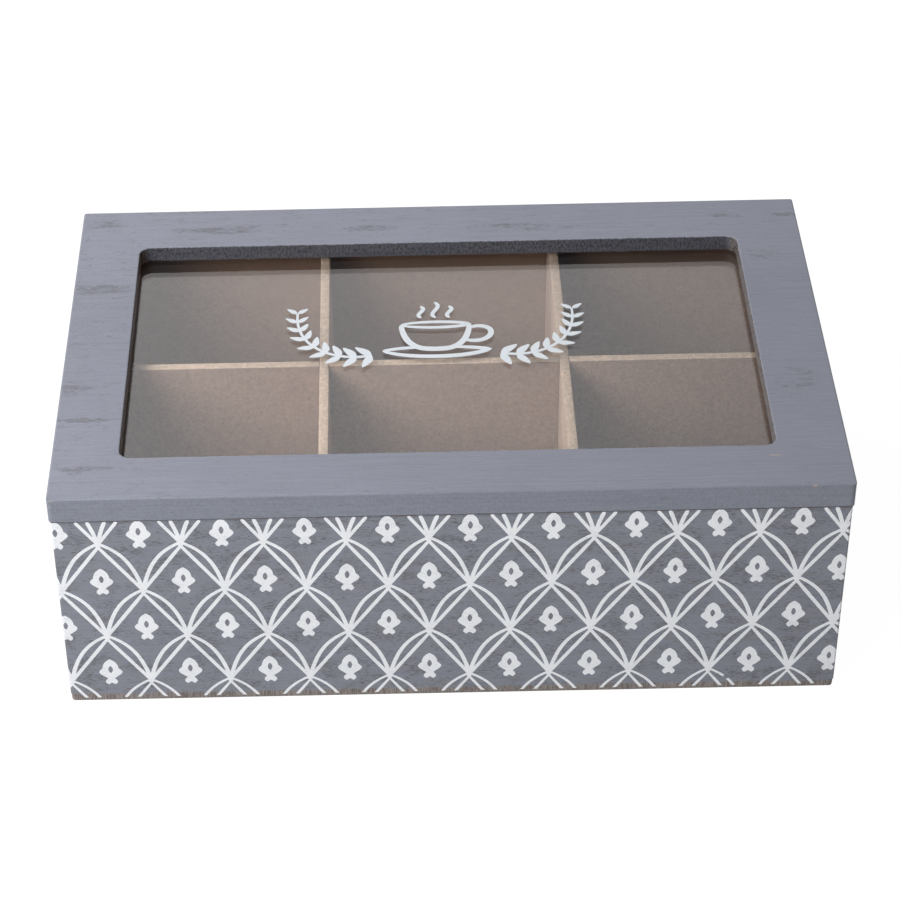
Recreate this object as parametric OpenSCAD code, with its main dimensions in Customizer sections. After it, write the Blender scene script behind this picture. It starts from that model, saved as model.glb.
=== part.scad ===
// Wooden tea bag box: six compartments under a hinged lid with a glass window.
// Units are millimetres. X runs across the box, Y to the back (the hinge side), Z up.
// The origin is the centre of the underside of the base.

/* [Body] */
// Width over the front panel
body_w = 238.8; // [215:0.1:280]
// Depth from the front face to the back face
body_d = 152.8; // [130:0.1:190]
// Height from the table to the rim, base included
body_h = 73; // [60:0.5:95]
// Thickness of the four wall panels
wall_t = 6; // [5.5:0.5:9]
// Thickness of the hardboard base
base_t = 3; // [2.5:0.5:5]
// Depth of the rebate that takes the end of each side panel
lap_d = 3; // [1.5:0.5:4]
// Radius of the upright outer corners of the walls
corner_r = 0.6; // [0.4:0.1:1.8]
// Radius of the upright corners of the base
base_corner_r = 2; // [0.6:0.1:3]
// Radius of the lower edge of the base
base_edge_r = 0.5; // [0.2:0.1:1]

/* [Dividers] */
// Thickness of the divider strips
divider_t = 3; // [2:0.1:4]
// How far the dividers stop below the rim
divider_drop = 1; // [0.5:0.1:8]
// Gap between a divider's end and the wall
divider_gap = 0.15; // [0.05:0.05:0.5]
// Gap on each side of a strip in its halving slot
slot_gap = 0.1; // [0.05:0.05:0.3]
// Extra depth of each halving slot
slot_relief = 0.5; // [0.2:0.1:2]

/* [Lid] */
// Thickness of the lid board
lid_t = 8.8; // [7.4:0.2:12]
// How far the lid stands past each side of the body
lid_over_side = 0.6; // [0:0.1:3]
// How far the lid stands past the front of the body
lid_over_front = 0; // [0:0.1:3]
// Width of the lid board left of the window
stile_left = 20.4; // [16:0.1:35]
// Width of the lid board right of the window
stile_right = 21.5; // [16:0.1:35]
// Width of the lid board in front of the window
rail_front = 19.5; // [16:0.1:35]
// Width of the lid board behind the window
rail_back = 21.9; // [16:0.1:35]
// Radius of the upright corners of the lid
lid_corner_r = 1.5; // [1.2:0.1:3]
// Radius of the lid's outer top edge
lid_edge_r = 0.6; // [0.4:0.1:1.2]
// Radius of the lid's outer lower edge
lid_under_r = 0.4; // [0.2:0.1:0.8]
// Radius of the window corners
window_r = 3.6; // [1.5:0.1:6]
// Radius of the window's top edge
window_edge_r = 0.5; // [0.2:0.1:1]

/* [Glazing] */
// Thickness of the glass pane
glass_t = 2; // [1.8:0.1:2.2]
// Depth of the glazing rebate, from the underside of the lid
rebate_d = 3.6; // [2.7:0.1:4.5]
// Width of the seat that the glass lies against
seat_w = 5; // [3:0.5:8]
// Corner radius of the glazing rebate
rebate_r = 3; // [2:0.5:6]
// Gap between the edge of the glass and the rebate wall
glass_gap = 0.5; // [0.3:0.1:1]
// Thickness of a glazing point
point_t = 0.4; // [0.3:0.05:0.5]
// Width of a glazing point
point_w = 4; // [3:0.5:6]
// Length of a glazing point
point_l = 7; // [7:0.5:12]
// Distance of the paired glazing points from the middle of the window
point_x = 62; // [40:1:75]

/* [Hinges] */
// Distance of each hinge from the middle of the box
hinge_x = 72; // [50:1:90]
// Length of a hinge
hinge_l = 20; // [17:0.5:26]
// Number of knuckles in a hinge
knuckles = 5; // [3:2:5]
// Height of a leaf from the pin to its free edge
leaf_h = 6.8; // [6.2:0.1:7.2]
// Thickness of the leaf sheet
leaf_t = 0.7; // [0.6:0.05:0.9]
// Radius of the hinge pin
pin_r = 0.6; // [0.5:0.05:0.8]
// Radial clearance of the pin in the turning knuckles
pin_gap = 0.05; // [0.03:0.01:0.1]
// Gap between neighbouring knuckles
knuckle_gap = 0.3; // [0.2:0.05:0.5]
// Gap between the barrel and the face that the leaves lie on
barrel_gap = 0.2; // [0.15:0.05:0.5]
// Height of the peened head at each end of the pin
pin_head_h = 0.3; // [0.2:0.05:0.6]

/* [Fasteners] */
// Head radius of a hinge screw
screw_head_r = 1.3; // [1.1:0.1:1.4]
// Shank radius of a hinge screw
screw_r = 0.6; // [0.5:0.05:0.8]
// Length of a hinge screw, head included
screw_l = 5; // [4:0.1:5.4]
// Distance of each screw from the middle of its hinge
screw_x = 6; // [4:0.1:6.5]
// Distance of the screws from the pin
screw_z = 4.2; // [3.7:0.1:4.5]
// Head radius of a base brad
brad_head_r = 0.9; // [0.8:0.1:1.2]
// Height of a brad head
brad_head_h = 0.5; // [0.3:0.1:0.8]
// Shank radius of a base brad
brad_r = 0.5; // [0.4:0.05:0.7]
// Length of a base brad
brad_l = 14; // [10:1:20]
// Distance of the outer front and back brads from the sides of the base
brad_end = 26; // [12:1:50]
// Distance of the side brads from the middle of the box
brad_side_y = 28; // [10:1:45]

/* [Hidden] */

$fn = 48;
eps = 0.1;        // overrun of a cutting shape past the face that it opens
metal_fit = 0.02; // gap round a driven screw, a brad or the fixed length of a pin

body_paint = [0.43, 0.44, 0.48];
lid_paint = [0.55, 0.58, 0.64];
raw_board = [0.80, 0.70, 0.58];
hardboard = [0.45, 0.32, 0.22];
brass = [0.80, 0.66, 0.36];
steel = [0.74, 0.74, 0.73];
clear_glass = [0.80, 0.90, 0.88, 0.35];

inner_w = body_w - 2 * wall_t;
inner_d = body_d - 2 * wall_t;
wall_h = body_h - base_t;
side_l = body_d - 2 * (wall_t - lap_d);
front_y = -body_d / 2;
back_y = body_d / 2;

divider_h = wall_h - divider_drop;
cell_w = (inner_w - 2 * divider_t) / 3;
cross_x = (cell_w + divider_t) / 2;
slot_w = divider_t + 2 * slot_gap;
slot_h = divider_h / 2 + slot_relief;

lid_w = body_w + 2 * lid_over_side;
lid_d = body_d + lid_over_front;
lid_y = -lid_over_front / 2;

window_w = lid_w - stile_left - stile_right;
window_d = lid_d - rail_front - rail_back;
window_x = (stile_left - stile_right) / 2;
window_y = lid_y + (rail_front - rail_back) / 2;
rebate_w = window_w + 2 * seat_w;
rebate_l = window_d + 2 * seat_w;
glass_w = rebate_w - 2 * glass_gap;
glass_l = rebate_l - 2 * glass_gap;
glass_z = body_h + rebate_d - glass_t;

knuckle_r = pin_r + leaf_t;
pin_off = knuckle_r + barrel_gap;       // from the wood's face to the middle of the pin
plate_z = knuckle_r + knuckle_gap;      // from the pin to the near edge of a leaf's plate
knuckle_l = (hinge_l - (knuckles - 1) * knuckle_gap) / knuckles;

// Where the base is nailed to the walls: three brads front and back, two along each side.
brad_places = concat(
    [for (sy = [-1, 1], sx = [-1, 0, 1])
        [sx * (body_w / 2 - brad_end), sy * (body_d - wall_t) / 2]],
    [for (sx = [-1, 1], sy = [-1, 1])
        [sx * (body_w - wall_t) / 2, sy * brad_side_y]]);

// ---- Shared shapes ----

// Rectangle with rounded corners, centred on the origin.
module rounded_rect(w, d, r) {
    square([w - 2 * r, d], center = true);
    square([w, d - 2 * r], center = true);
    for (sx = [-1, 1], sy = [-1, 1])
        translate([sx * (w / 2 - r), sy * (d / 2 - r)]) circle(r = r);
}

// What has to go to round off an arris at the origin of a solid that lies at -X and -Y.
module arris_profile(r) {
    difference() {
        translate([-r, -r]) square(r + eps);
        translate([-r, -r]) circle(r = r);
    }
}

// Turns a profile drawn in (Y, Z) into a bar along X, centred on the origin.
module along_x(l) {
    translate([-l / 2, 0, 0]) rotate([90, 0, 90]) linear_extrude(l) children();
}

// Cutter for the four top edges of a board of w by d whose top face is at z = 0.
module board_edges(w, d, r) {
    for (a = [0, 180]) rotate(a) translate([0, d / 2, 0]) along_x(w + 2 * eps) arris_profile(r);
    for (a = [90, 270]) rotate(a) translate([0, w / 2, 0]) along_x(d + 2 * eps) arris_profile(r);
}

// Cutter for the top edge all round an opening of w by d with corners of radius rc.
module opening_edges(w, d, rc, r) {
    for (a = [0, 180])
        rotate(a) translate([0, -d / 2, 0]) along_x(w - 2 * rc) arris_profile(r);
    for (a = [90, 270])
        rotate(a) translate([0, -w / 2, 0]) along_x(d - 2 * rc) arris_profile(r);
    for (sx = [-1, 1], sy = [-1, 1])
        translate([sx * (w / 2 - rc), sy * (d / 2 - rc), 0])
            rotate_extrude() translate([rc, 0]) mirror([1, 0]) arris_profile(r);
}

// ---- Base and walls ----

// One brad standing on its head at z = 0; its hole is wider all round by grow.
module brad(grow) {
    head_r = brad_head_r + grow;
    shank_r = brad_r + grow;
    rotate_extrude()
        polygon([[0, 0], [head_r, 0], [head_r, brad_head_h], [shank_r, brad_head_h],
                 [shank_r, brad_l - 2 * brad_r], [0, brad_l + grow]]);
}

module brads(grow) {
    for (p = brad_places) translate(p) brad(grow);
}

module base_brads() {
    color(steel) brads(0);
}

module base_panel() {
    color(hardboard) difference() {
        linear_extrude(base_t) rounded_rect(body_w, body_d, base_corner_r);
        mirror([0, 0, 1]) board_edges(body_w, body_d, base_edge_r);
        brads(metal_fit);
    }
}

// Plan of the front panel: the full thickness between the side panels, and a lip at
// each end that covers the side panel's end.
module long_wall_plan() {
    intersection() {
        rounded_rect(body_w, body_d, corner_r);
        translate([0, front_y]) {
            translate([-inner_w / 2, 0]) square([inner_w, wall_t]);
            translate([-body_w / 2, 0]) square([body_w, wall_t - lap_d]);
        }
    }
}

module front_panel() {
    color(body_paint) difference() {
        translate([0, 0, base_t]) linear_extrude(wall_h) long_wall_plan();
        brads(metal_fit);
    }
}

module back_panel() {
    color(body_paint) difference() {
        mirror([0, 1, 0]) translate([0, 0, base_t]) linear_extrude(wall_h) long_wall_plan();
        brads(metal_fit);
        at_hinges() at_screws(-1) screw_hole();
    }
}

// The side panel at the right (side = 1) or at the left (side = -1).
module side_panel(side) {
    color(body_paint) difference() {
        translate([side * (body_w - wall_t) / 2 - wall_t / 2, -side_l / 2, base_t])
            cube([wall_t, side_l, wall_h]);
        brads(metal_fit);
    }
}

module left_panel() {
    side_panel(-1);
}

module right_panel() {
    side_panel(1);
}

// ---- Dividers, halved over each other like an egg crate ----

// Strip along the box, slotted from the top.
module long_divider() {
    l = inner_w - 2 * divider_gap;
    color(raw_board) difference() {
        translate([-l / 2, -divider_t / 2, base_t]) cube([l, divider_t, divider_h]);
        for (side = [-1, 1])
            translate([side * cross_x - slot_w / 2, -slot_w, base_t + divider_h - slot_h])
                cube([slot_w, 2 * slot_w, slot_h + eps]);
    }
}

// Strip from front to back, slotted from below.
module cross_divider(side) {
    l = inner_d - 2 * divider_gap;
    color(raw_board) translate([side * cross_x, 0, 0]) difference() {
        translate([-divider_t / 2, -l / 2, base_t]) cube([divider_t, l, divider_h]);
        translate([-slot_w, -slot_w / 2, base_t - eps])
            cube([2 * slot_w, slot_w, slot_h + eps]);
    }
}

module cross_divider_left() {
    cross_divider(-1);
}

module cross_divider_right() {
    cross_divider(1);
}

// ---- Lid, glass and glazing points ----

// One board with a routed window, a glazing rebate below it and eased edges.
module lid_frame() {
    color(lid_paint) difference() {
        translate([0, lid_y, body_h]) linear_extrude(lid_t) rounded_rect(lid_w, lid_d, lid_corner_r);
        translate([0, lid_y, body_h + lid_t]) board_edges(lid_w, lid_d, lid_edge_r);
        translate([0, lid_y, body_h]) mirror([0, 0, 1]) board_edges(lid_w, lid_d, lid_under_r);
        translate([window_x, window_y, body_h]) {
            linear_extrude(lid_t + eps) rounded_rect(window_w, window_d, window_r);
            translate([0, 0, -eps]) linear_extrude(rebate_d + eps) rounded_rect(rebate_w, rebate_l, rebate_r);
            translate([0, 0, lid_t]) opening_edges(window_w, window_d, window_r, window_edge_r);
        }
        glazing_point_set();
        at_hinges() at_screws(1) screw_hole();
    }
}

// Pane against the seat of the rebate; its snipped corners clear the routed ones.
module glass_pane() {
    x = glass_w / 2;
    y = glass_l / 2;
    s = rebate_r;
    color(clear_glass)
        translate([window_x, window_y, glass_z])
            linear_extrude(glass_t)
                polygon([[s - x, -y], [x - s, -y], [x, s - y], [x, y - s],
                         [x - s, y], [s - x, y], [-x, y - s], [-x, s - y]]);
}

// Flat steel point under the glass, with its tip towards +Y and half its length
// driven into the rebate wall at y = 0.
module glazing_point() {
    shoulder = point_l / 6;
    translate([0, 0, glass_z - point_t])
        linear_extrude(point_t)
            polygon([[-point_w / 2, -point_l / 2], [point_w / 2, -point_l / 2],
                     [point_w / 2, shoulder], [0, point_l / 2], [-point_w / 2, shoulder]]);
}

// Two points on each long side of the window and one on each short side.
module glazing_point_set() {
    translate([window_x, window_y, 0]) {
        for (a = [0, 180], side = [-1, 1])
            rotate(a) translate([side * point_x, rebate_l / 2, 0]) glazing_point();
        for (a = [90, 270])
            rotate(a) translate([0, rebate_w / 2, 0]) glazing_point();
    }
}

module glazing_points() {
    color(steel) glazing_point_set();
}

// ---- Hinges: butt hinges on the back, with the pin level with the rim ----

// Puts its children at the middle of one hinge pin.
module at_hinge(side) {
    translate([side * hinge_x, back_y + pin_off, body_h]) children();
}

module at_hinges() {
    for (side = [-1, 1]) at_hinge(side) children();
}

// Puts its children at the heads of one leaf's screws, above (up = 1) or below the pin.
module at_screws(up) {
    for (side = [-1, 1])
        translate([side * screw_x, leaf_t - pin_off, up * screw_z]) children();
}

// Turned shape whose axis runs from a head at y = 0 towards -Y.
module turned_inwards() {
    rotate([90, 0, 0]) rotate_extrude() children();
}

// Half section of a countersunk screw; the hole for it is wider all round by grow.
module screw_profile(grow) {
    shank_r = screw_r + grow;
    polygon([[0, 0], [screw_head_r + grow, 0], [shank_r, leaf_t],
             [shank_r, screw_l - 2 * screw_r], [0, screw_l + grow]]);
}

module screw_hole() {
    turned_inwards() screw_profile(metal_fit);
}

// Countersunk screw with a straight slot across its head, left upright.
module screw() {
    slot_t = screw_head_r / 4;
    difference() {
        turned_inwards() screw_profile(0);
        translate([-slot_t / 2, -leaf_t / 3, -2 * screw_head_r])
            cube([slot_t, leaf_t, 4 * screw_head_r]);
    }
}

// Middle of knuckle i along the pin.
function knuckle_x(i) = (i - (knuckles - 1) / 2) * (knuckle_l + knuckle_gap);

// Leaf of sheet metal whose plate stands above the pin. It carries every second
// knuckle from the one called first, each rolled from a tongue of the plate.
module leaf(first, bore_gap) {
    color(brass) difference() {
        union() {
            translate([-hinge_l / 2, -pin_off, plate_z]) cube([hinge_l, leaf_t, leaf_h - plate_z]);
            for (i = [first : 2 : knuckles - 1])
                translate([knuckle_x(i), 0, 0])
                    along_x(knuckle_l) {
                        circle(r = knuckle_r);
                        translate([-pin_off, 0]) square([leaf_t, plate_z]);
                    }
        }
        rotate([0, 90, 0]) cylinder(r = pin_r + bore_gap, h = hinge_l + 2 * eps, center = true);
        at_screws(1) screw_hole();
    }
}

// The body's leaf hangs below the pin and holds it fast in the outer knuckles.
module body_leaf(side) {
    at_hinge(side) mirror([0, 0, 1]) leaf(0, metal_fit);
}

// The lid's leaf stands above the pin and turns on it.
module lid_leaf(side) {
    at_hinge(side) leaf(1, pin_gap);
}

// Pin with a peened head outside each end of the barrel.
module hinge_pin(side) {
    head_z = hinge_l / 2;
    color(steel) at_hinge(side) rotate([0, 90, 0])
        rotate_extrude()
            polygon([[0, -head_z - pin_head_h], [pin_r, -head_z - pin_head_h],
                     [knuckle_r - leaf_t / 2, -head_z], [pin_r, -head_z],
                     [pin_r, head_z], [knuckle_r - leaf_t / 2, head_z],
                     [pin_r, head_z + pin_head_h], [0, head_z + pin_head_h]]);
}

module hinge_left_body_leaf() {
    body_leaf(-1);
}

module hinge_right_body_leaf() {
    body_leaf(1);
}

module hinge_left_lid_leaf() {
    lid_leaf(-1);
}

module hinge_right_lid_leaf() {
    lid_leaf(1);
}

module hinge_left_pin() {
    hinge_pin(-1);
}

module hinge_right_pin() {
    hinge_pin(1);
}

module hinge_body_screws() {
    color(brass) at_hinges() at_screws(-1) screw();
}

module hinge_lid_screws() {
    color(brass) at_hinges() at_screws(1) screw();
}

base_panel();
front_panel();
back_panel();
left_panel();
right_panel();
long_divider();
cross_divider_left();
cross_divider_right();
base_brads();
hinge_left_body_leaf();
hinge_right_body_leaf();
hinge_left_pin();
hinge_right_pin();
hinge_body_screws();
lid_frame();
glass_pane();
glazing_points();
hinge_left_lid_leaf();
hinge_right_lid_leaf();
hinge_lid_screws();
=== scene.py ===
"""Looks of a tea bag organizer box.

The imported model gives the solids. This script dresses them, eases the dividers'
edges, adds the trellis print on the front and the motif on the window, and sets
up a plain light studio with one camera. All lengths are metres.
"""

import logging
import math
from dataclasses import dataclass
from enum import Enum
from typing import Callable, Dict, List, Optional, Sequence, Tuple, Union

import bmesh
import bpy
from mathutils import Matrix, Vector
from mathutils.geometry import interpolate_bezier, tessellate_polygon


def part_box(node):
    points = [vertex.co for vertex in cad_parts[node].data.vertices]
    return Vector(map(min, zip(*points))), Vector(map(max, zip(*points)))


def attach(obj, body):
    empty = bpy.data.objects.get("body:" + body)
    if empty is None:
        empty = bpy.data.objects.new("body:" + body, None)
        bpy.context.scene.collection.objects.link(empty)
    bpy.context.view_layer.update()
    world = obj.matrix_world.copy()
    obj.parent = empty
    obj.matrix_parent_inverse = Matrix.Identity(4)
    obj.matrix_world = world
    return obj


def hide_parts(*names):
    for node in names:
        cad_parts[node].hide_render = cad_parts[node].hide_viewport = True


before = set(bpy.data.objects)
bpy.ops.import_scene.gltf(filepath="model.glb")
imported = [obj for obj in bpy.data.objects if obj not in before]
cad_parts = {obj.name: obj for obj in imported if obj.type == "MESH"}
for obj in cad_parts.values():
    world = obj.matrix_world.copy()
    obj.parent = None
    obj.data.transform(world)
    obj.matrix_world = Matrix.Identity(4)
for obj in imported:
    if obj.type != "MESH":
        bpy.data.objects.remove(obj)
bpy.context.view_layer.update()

LOG = logging.getLogger("tea_box")
MM = 0.001

Point = Tuple[float, float]
Place = Tuple[float, float, float]
Spot = Tuple[Place, Place]
Segment = Tuple[Point, Point, Point, Point]
Colour = Tuple[float, float, float, float]
Value = Union[float, Sequence[float], "Field"]
Fields = Dict[str, "Field"]
Inputs = Dict[Union[str, int], Value]


# ---------------------------------------------------------------- small helpers


def srgb(red: int, green: int, blue: int) -> Colour:
    """Turns a display colour into the linear colour that a shader takes.

    Args:
        red: Red from 0 to 255.
        green: Green from 0 to 255.
        blue: Blue from 0 to 255.

    Returns:
        The linear colour, with an alpha of 1.
    """

    def linear(level: int) -> float:
        """Undoes the display curve for one channel."""
        part = level / 255.0
        return part / 12.92 if part <= 0.04045 else ((part + 0.055) / 1.055) ** 2.4

    return (linear(red), linear(green), linear(blue), 1.0)


@dataclass(frozen=True)
class Field:
    """A value inside a node tree, which goes into sums like a plain number.

    Args:
        sheet: The tree's sheet.
        socket: The output that the value comes from.
    """

    sheet: "NodeSheet"
    socket: bpy.types.NodeSocket

    def __add__(self, other: Value) -> "Field":
        """Adds."""
        return self.sheet.math("ADD", self, other)

    def __sub__(self, other: Value) -> "Field":
        """Subtracts."""
        return self.sheet.math("SUBTRACT", self, other)

    def __rsub__(self, other: Value) -> "Field":
        """Subtracts from a plain number."""
        return self.sheet.math("SUBTRACT", other, self)

    def __mul__(self, other: Value) -> "Field":
        """Multiplies."""
        return self.sheet.math("MULTIPLY", self, other)

    def __truediv__(self, other: Value) -> "Field":
        """Divides."""
        return self.sheet.math("DIVIDE", self, other)

    def __mod__(self, other: Value) -> "Field":
        """Takes the rest of a division."""
        return self.sheet.math("MODULO", self, other)

    def __gt__(self, other: Value) -> "Field":
        """Is 1 where the value is larger."""
        return self.sheet.math("GREATER_THAN", self, other)

    def __lt__(self, other: Value) -> "Field":
        """Is 1 where the value is smaller."""
        return self.sheet.math("LESS_THAN", self, other)

    def __abs__(self) -> "Field":
        """Drops the sign."""
        return self.sheet.math("ABSOLUTE", self)

    def scaled(self, factor: Value, plus: Value) -> "Field":
        """Multiplies by a factor and adds, in one node."""
        return self.sheet.math("MULTIPLY_ADD", self, factor, plus)


class NodeSheet:
    """One node tree, with short ways to add nodes and join them."""

    def __init__(self, tree: bpy.types.NodeTree) -> None:
        """Takes a tree and empties it."""
        self.tree = tree
        self.tree.nodes.clear()

    def feed(self, socket: bpy.types.NodeSocket, value: Value) -> None:
        """Joins an input to a value of the tree, or sets its plain value.

        Args:
            socket: The input.
            value: What it gets.
        """
        if isinstance(value, Field):
            self.tree.links.new(value.socket, socket)
        else:
            socket.default_value = value

    def add(self, kind: str, inputs: Optional[Inputs] = None, **settings: object) -> bpy.types.Node:
        """Adds one node.

        Args:
            kind: Blender's name for the node type.
            inputs: Values by input name or index.
            settings: Plain properties of the node.

        Returns:
            The new node.
        """
        node = self.tree.nodes.new(kind)
        for name, value in settings.items():
            setattr(node, name, value)
        for key, value in (inputs or {}).items():
            self.feed(node.inputs[key], value)
        return node

    def take(
        self,
        kind: str,
        inputs: Optional[Inputs] = None,
        output: Union[str, int] = 0,
        **settings: object,
    ) -> Field:
        """Adds a node and returns one of its outputs."""
        return Field(self, self.add(kind, inputs, **settings).outputs[output])

    def outputs(self, kind: str, inputs: Optional[Inputs] = None, **settings: object) -> Fields:
        """Adds a node and returns its outputs by name."""
        sockets = self.add(kind, inputs, **settings).outputs
        return {socket.name: Field(self, socket) for socket in sockets}

    def effect(self, effect: "Effect", **values: Value) -> Fields:
        """Places a shared effect with its own values and returns its outputs by name."""
        return self.outputs("ShaderNodeGroup", values, node_tree=effect.tree())

    def math(self, operation: str, *operands: Value) -> Field:
        """Adds a Math node."""
        return self.take("ShaderNodeMath", dict(enumerate(operands)), operation=operation)

    def vector(self, operation: str, first: Value, second: Value) -> Field:
        """Adds a Vector Math node; "SCALE" takes a single value as its second."""
        key = "Scale" if operation == "SCALE" else 1
        return self.take("ShaderNodeVectorMath", {0: first, key: second}, operation=operation)

    def length(self, vector: Value) -> Field:
        """Returns the length of a vector."""
        return self.take("ShaderNodeVectorMath", {0: vector}, "Value", operation="LENGTH")

    def combine(self, x: Value, y: Value, z: Value) -> Field:
        """Puts three values together as one vector."""
        return self.take("ShaderNodeCombineXYZ", {0: x, 1: y, 2: z})

    def separate(self, vector: Value) -> Tuple[Field, ...]:
        """Splits a vector into its three values."""
        return tuple(self.outputs("ShaderNodeSeparateXYZ", {0: vector}).values())

    def place(self) -> Field:
        """Returns the object's own coordinates."""
        return self.take("ShaderNodeTexCoord", output="Object")

    def axes(self) -> Tuple[Field, ...]:
        """Returns the object's own x, y and z."""
        return self.separate(self.place())

    def blend(self, factor: Value, start: Value, end: Value) -> Field:
        """Mixes two plain values by a factor."""
        return self.take("ShaderNodeMix", {0: factor, 2: start, 3: end}, data_type="FLOAT")

    def tint(self, factor: Value, start: Value, end: Value) -> Field:
        """Mixes two colours by a factor."""
        return self.take("ShaderNodeMix", {0: factor, 6: start, 7: end}, 2, data_type="RGBA")

    def step(self, value: Value, low: Value, high: Value) -> Field:
        """Rises smoothly from 0 at the low edge to 1 at the high edge."""
        inputs = {"Value": value, "From Min": low, "From Max": high}
        return self.take("ShaderNodeMapRange", inputs, "Result", interpolation_type="SMOOTHSTEP")

    def noise(self, place: Value, detail: float = 2.0, roughness: float = 0.5) -> Field:
        """Adds a noise at scale 1 and returns its value from 0 to 1."""
        inputs = {"Vector": place, "Scale": 1.0, "Detail": detail, "Roughness": roughness}
        return self.take("ShaderNodeTexNoise", inputs, "Fac")


# ------------------------------------------------------- effects shared by finishes

FACING = 0.7  # share of a face's normal from which it counts as facing that way
DEPTH_STEP = 37.0  # noise cells per metre of depth, so that opposite faces differ
TONE_GAIN = 4.0  # brings a noise's swing about its middle to nearly -1 to 1
BARE_ROUGHNESS = 0.78
PAINT_RELIEF = 0.03 * MM
BROWN_FACE = srgb(142, 117, 100)


@dataclass(frozen=True)
class Effect:
    """A shader node group that several finishes share.

    Args:
        name: The group's name.
        draw: Adds the nodes to a sheet, from the inputs by name, and returns the
            results by name.
        inputs: Input names with their defaults; a tuple makes a vector input.
    """

    name: str
    draw: Callable[[NodeSheet, Fields], Fields]
    inputs: Tuple[Tuple[str, Value], ...] = ()

    def tree(self) -> bpy.types.NodeTree:
        """Builds the group once and returns it on later calls too.

        Returns:
            The node group.
        """
        known = bpy.data.node_groups.get(self.name)
        if known:
            return known
        group = bpy.data.node_groups.new(self.name, "ShaderNodeTree")
        for name, default in self.inputs:
            kind = "NodeSocketVector" if isinstance(default, tuple) else "NodeSocketFloat"
            socket = group.interface.new_socket(name=name, in_out="INPUT", socket_type=kind)
            socket.default_value = default
        sheet = NodeSheet(group)
        results = self.draw(sheet, sheet.outputs("NodeGroupInput"))
        for name in results:
            group.interface.new_socket(name=name, in_out="OUTPUT", socket_type="NodeSocketFloat")
        sheet.add("NodeGroupOutput", results)
        return group


def draw_place(sheet: NodeSheet, _ends: Fields) -> Fields:
    """Draws a board's own directions on each of its faces.

    Args:
        sheet: The group's sheet.
        _ends: Not used, because the group has no inputs.

    Returns:
        Along (the grain's run), Across, Depth (square to the face), and masks for
        faces that look up or down and for end faces.
    """
    coordinates = sheet.outputs("ShaderNodeTexCoord")
    x, y, z = sheet.separate(coordinates["Object"])
    nx, _ny, nz = sheet.separate(coordinates["Normal"])
    flat = abs(nz) > FACING
    end = abs(nx) > FACING
    return {
        "Along": sheet.blend(end, x, y),
        "Across": sheet.blend(flat, z, y),
        "Depth": sheet.blend(flat, sheet.blend(end, y, x), z),
        "Flat": flat,
        "End": end,
    }


BOARD_PLACE = Effect("board_place", draw_place)


def grain_place(sheet: NodeSheet, ends: Fields) -> Field:
    """Stretches a board's directions into the space of one grain.

    Args:
        sheet: The group's sheet.
        ends: Length and Width of the pattern, Warp (how far the lines wander
            across the grain) and Seed.

    Returns:
        A vector for a noise at scale 1.
    """
    place = sheet.effect(BOARD_PLACE)
    depth = place["Depth"].scaled(DEPTH_STEP, ends["Seed"])
    slow = sheet.combine(place["Along"] / (11 * MM), place["Across"] / (7 * MM), depth)
    sway = sheet.noise(slow, 1.0) - 0.5
    across = sway.scaled(ends["Warp"], place["Across"])
    return sheet.combine(place["Along"] / ends["Length"], across / ends["Width"], depth)


def draw_streaks(sheet: NodeSheet, ends: Fields) -> Fields:
    """Draws the long soft streaks of a brush: Tone about 0, Height from 0 to 1."""
    value = sheet.noise(grain_place(sheet, ends), 3.0, 0.55)
    return {"Tone": (value - 0.5) * TONE_GAIN, "Height": value}


def draw_pores(sheet: NodeSheet, ends: Fields) -> Fields:
    """Draws short open pores of the veneer, in loose clusters along the grain.

    Args:
        sheet: The group's sheet.
        ends: The grain's inputs, Cluster, Rows and Level.

    Returns:
        Mask, 1 in a pore.
    """
    value = sheet.noise(grain_place(sheet, ends), 2.0, 0.6)
    place = sheet.effect(BOARD_PLACE)
    patch = sheet.combine(
        place["Along"] / ends["Cluster"],
        place["Across"] / (ends["Cluster"] * ends["Rows"]),
        place["Depth"].scaled(DEPTH_STEP, ends["Seed"]),
    )
    cluster = sheet.noise(patch, 2.0) - 0.5
    level = cluster.scaled(-0.55, ends["Level"])
    return {"Mask": sheet.step(value, level, level + 0.05)}


def draw_speckle(sheet: NodeSheet, ends: Fields) -> Fields:
    """Draws fine even speckle, as on board fibres and rolled paint.

    Args:
        sheet: The group's sheet.
        ends: Size of the grains and Seed.

    Returns:
        Tone about 0 and Height from 0 to 1.
    """
    scaled = sheet.vector("SCALE", sheet.place(), sheet.math("DIVIDE", 1.0, ends["Size"]))
    moved = sheet.vector("ADD", scaled, sheet.combine(ends["Seed"], 0.0, 0.0))
    value = sheet.noise(moved, 2.0, 0.6)
    return {"Tone": (value - 0.5) * TONE_GAIN, "Height": value}


def draw_wear(sheet: NodeSheet, ends: Fields) -> Fields:
    """Draws the paint's rubbed patches along the outer edges of a box-shaped board.

    Args:
        sheet: The group's sheet.
        ends: Low and High corners, Width of the edge, Size of the patches, Amount.

    Returns:
        Mask, 1 where it is rubbed.
    """
    place = sheet.place()
    from_low = sheet.vector("SUBTRACT", place, ends["Low"])
    from_high = sheet.vector("SUBTRACT", ends["High"], place)
    a, b, c = sheet.separate(sheet.vector("MINIMUM", from_low, from_high))
    low, high = (sheet.math(kind, a, b) for kind in ("MINIMUM", "MAXIMUM"))
    to_edge = sheet.math("MAXIMUM", low, sheet.math("MINIMUM", high, c))
    near = 1.0 - sheet.step(to_edge, 0.0, ends["Width"])
    scaled = sheet.vector("SCALE", place, sheet.math("DIVIDE", 1.0, ends["Size"]))
    level = 1.0 - ends["Amount"]
    return {"Mask": sheet.step(near * sheet.noise(scaled, 3.0, 0.6), level, level + 0.06)}


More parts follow.
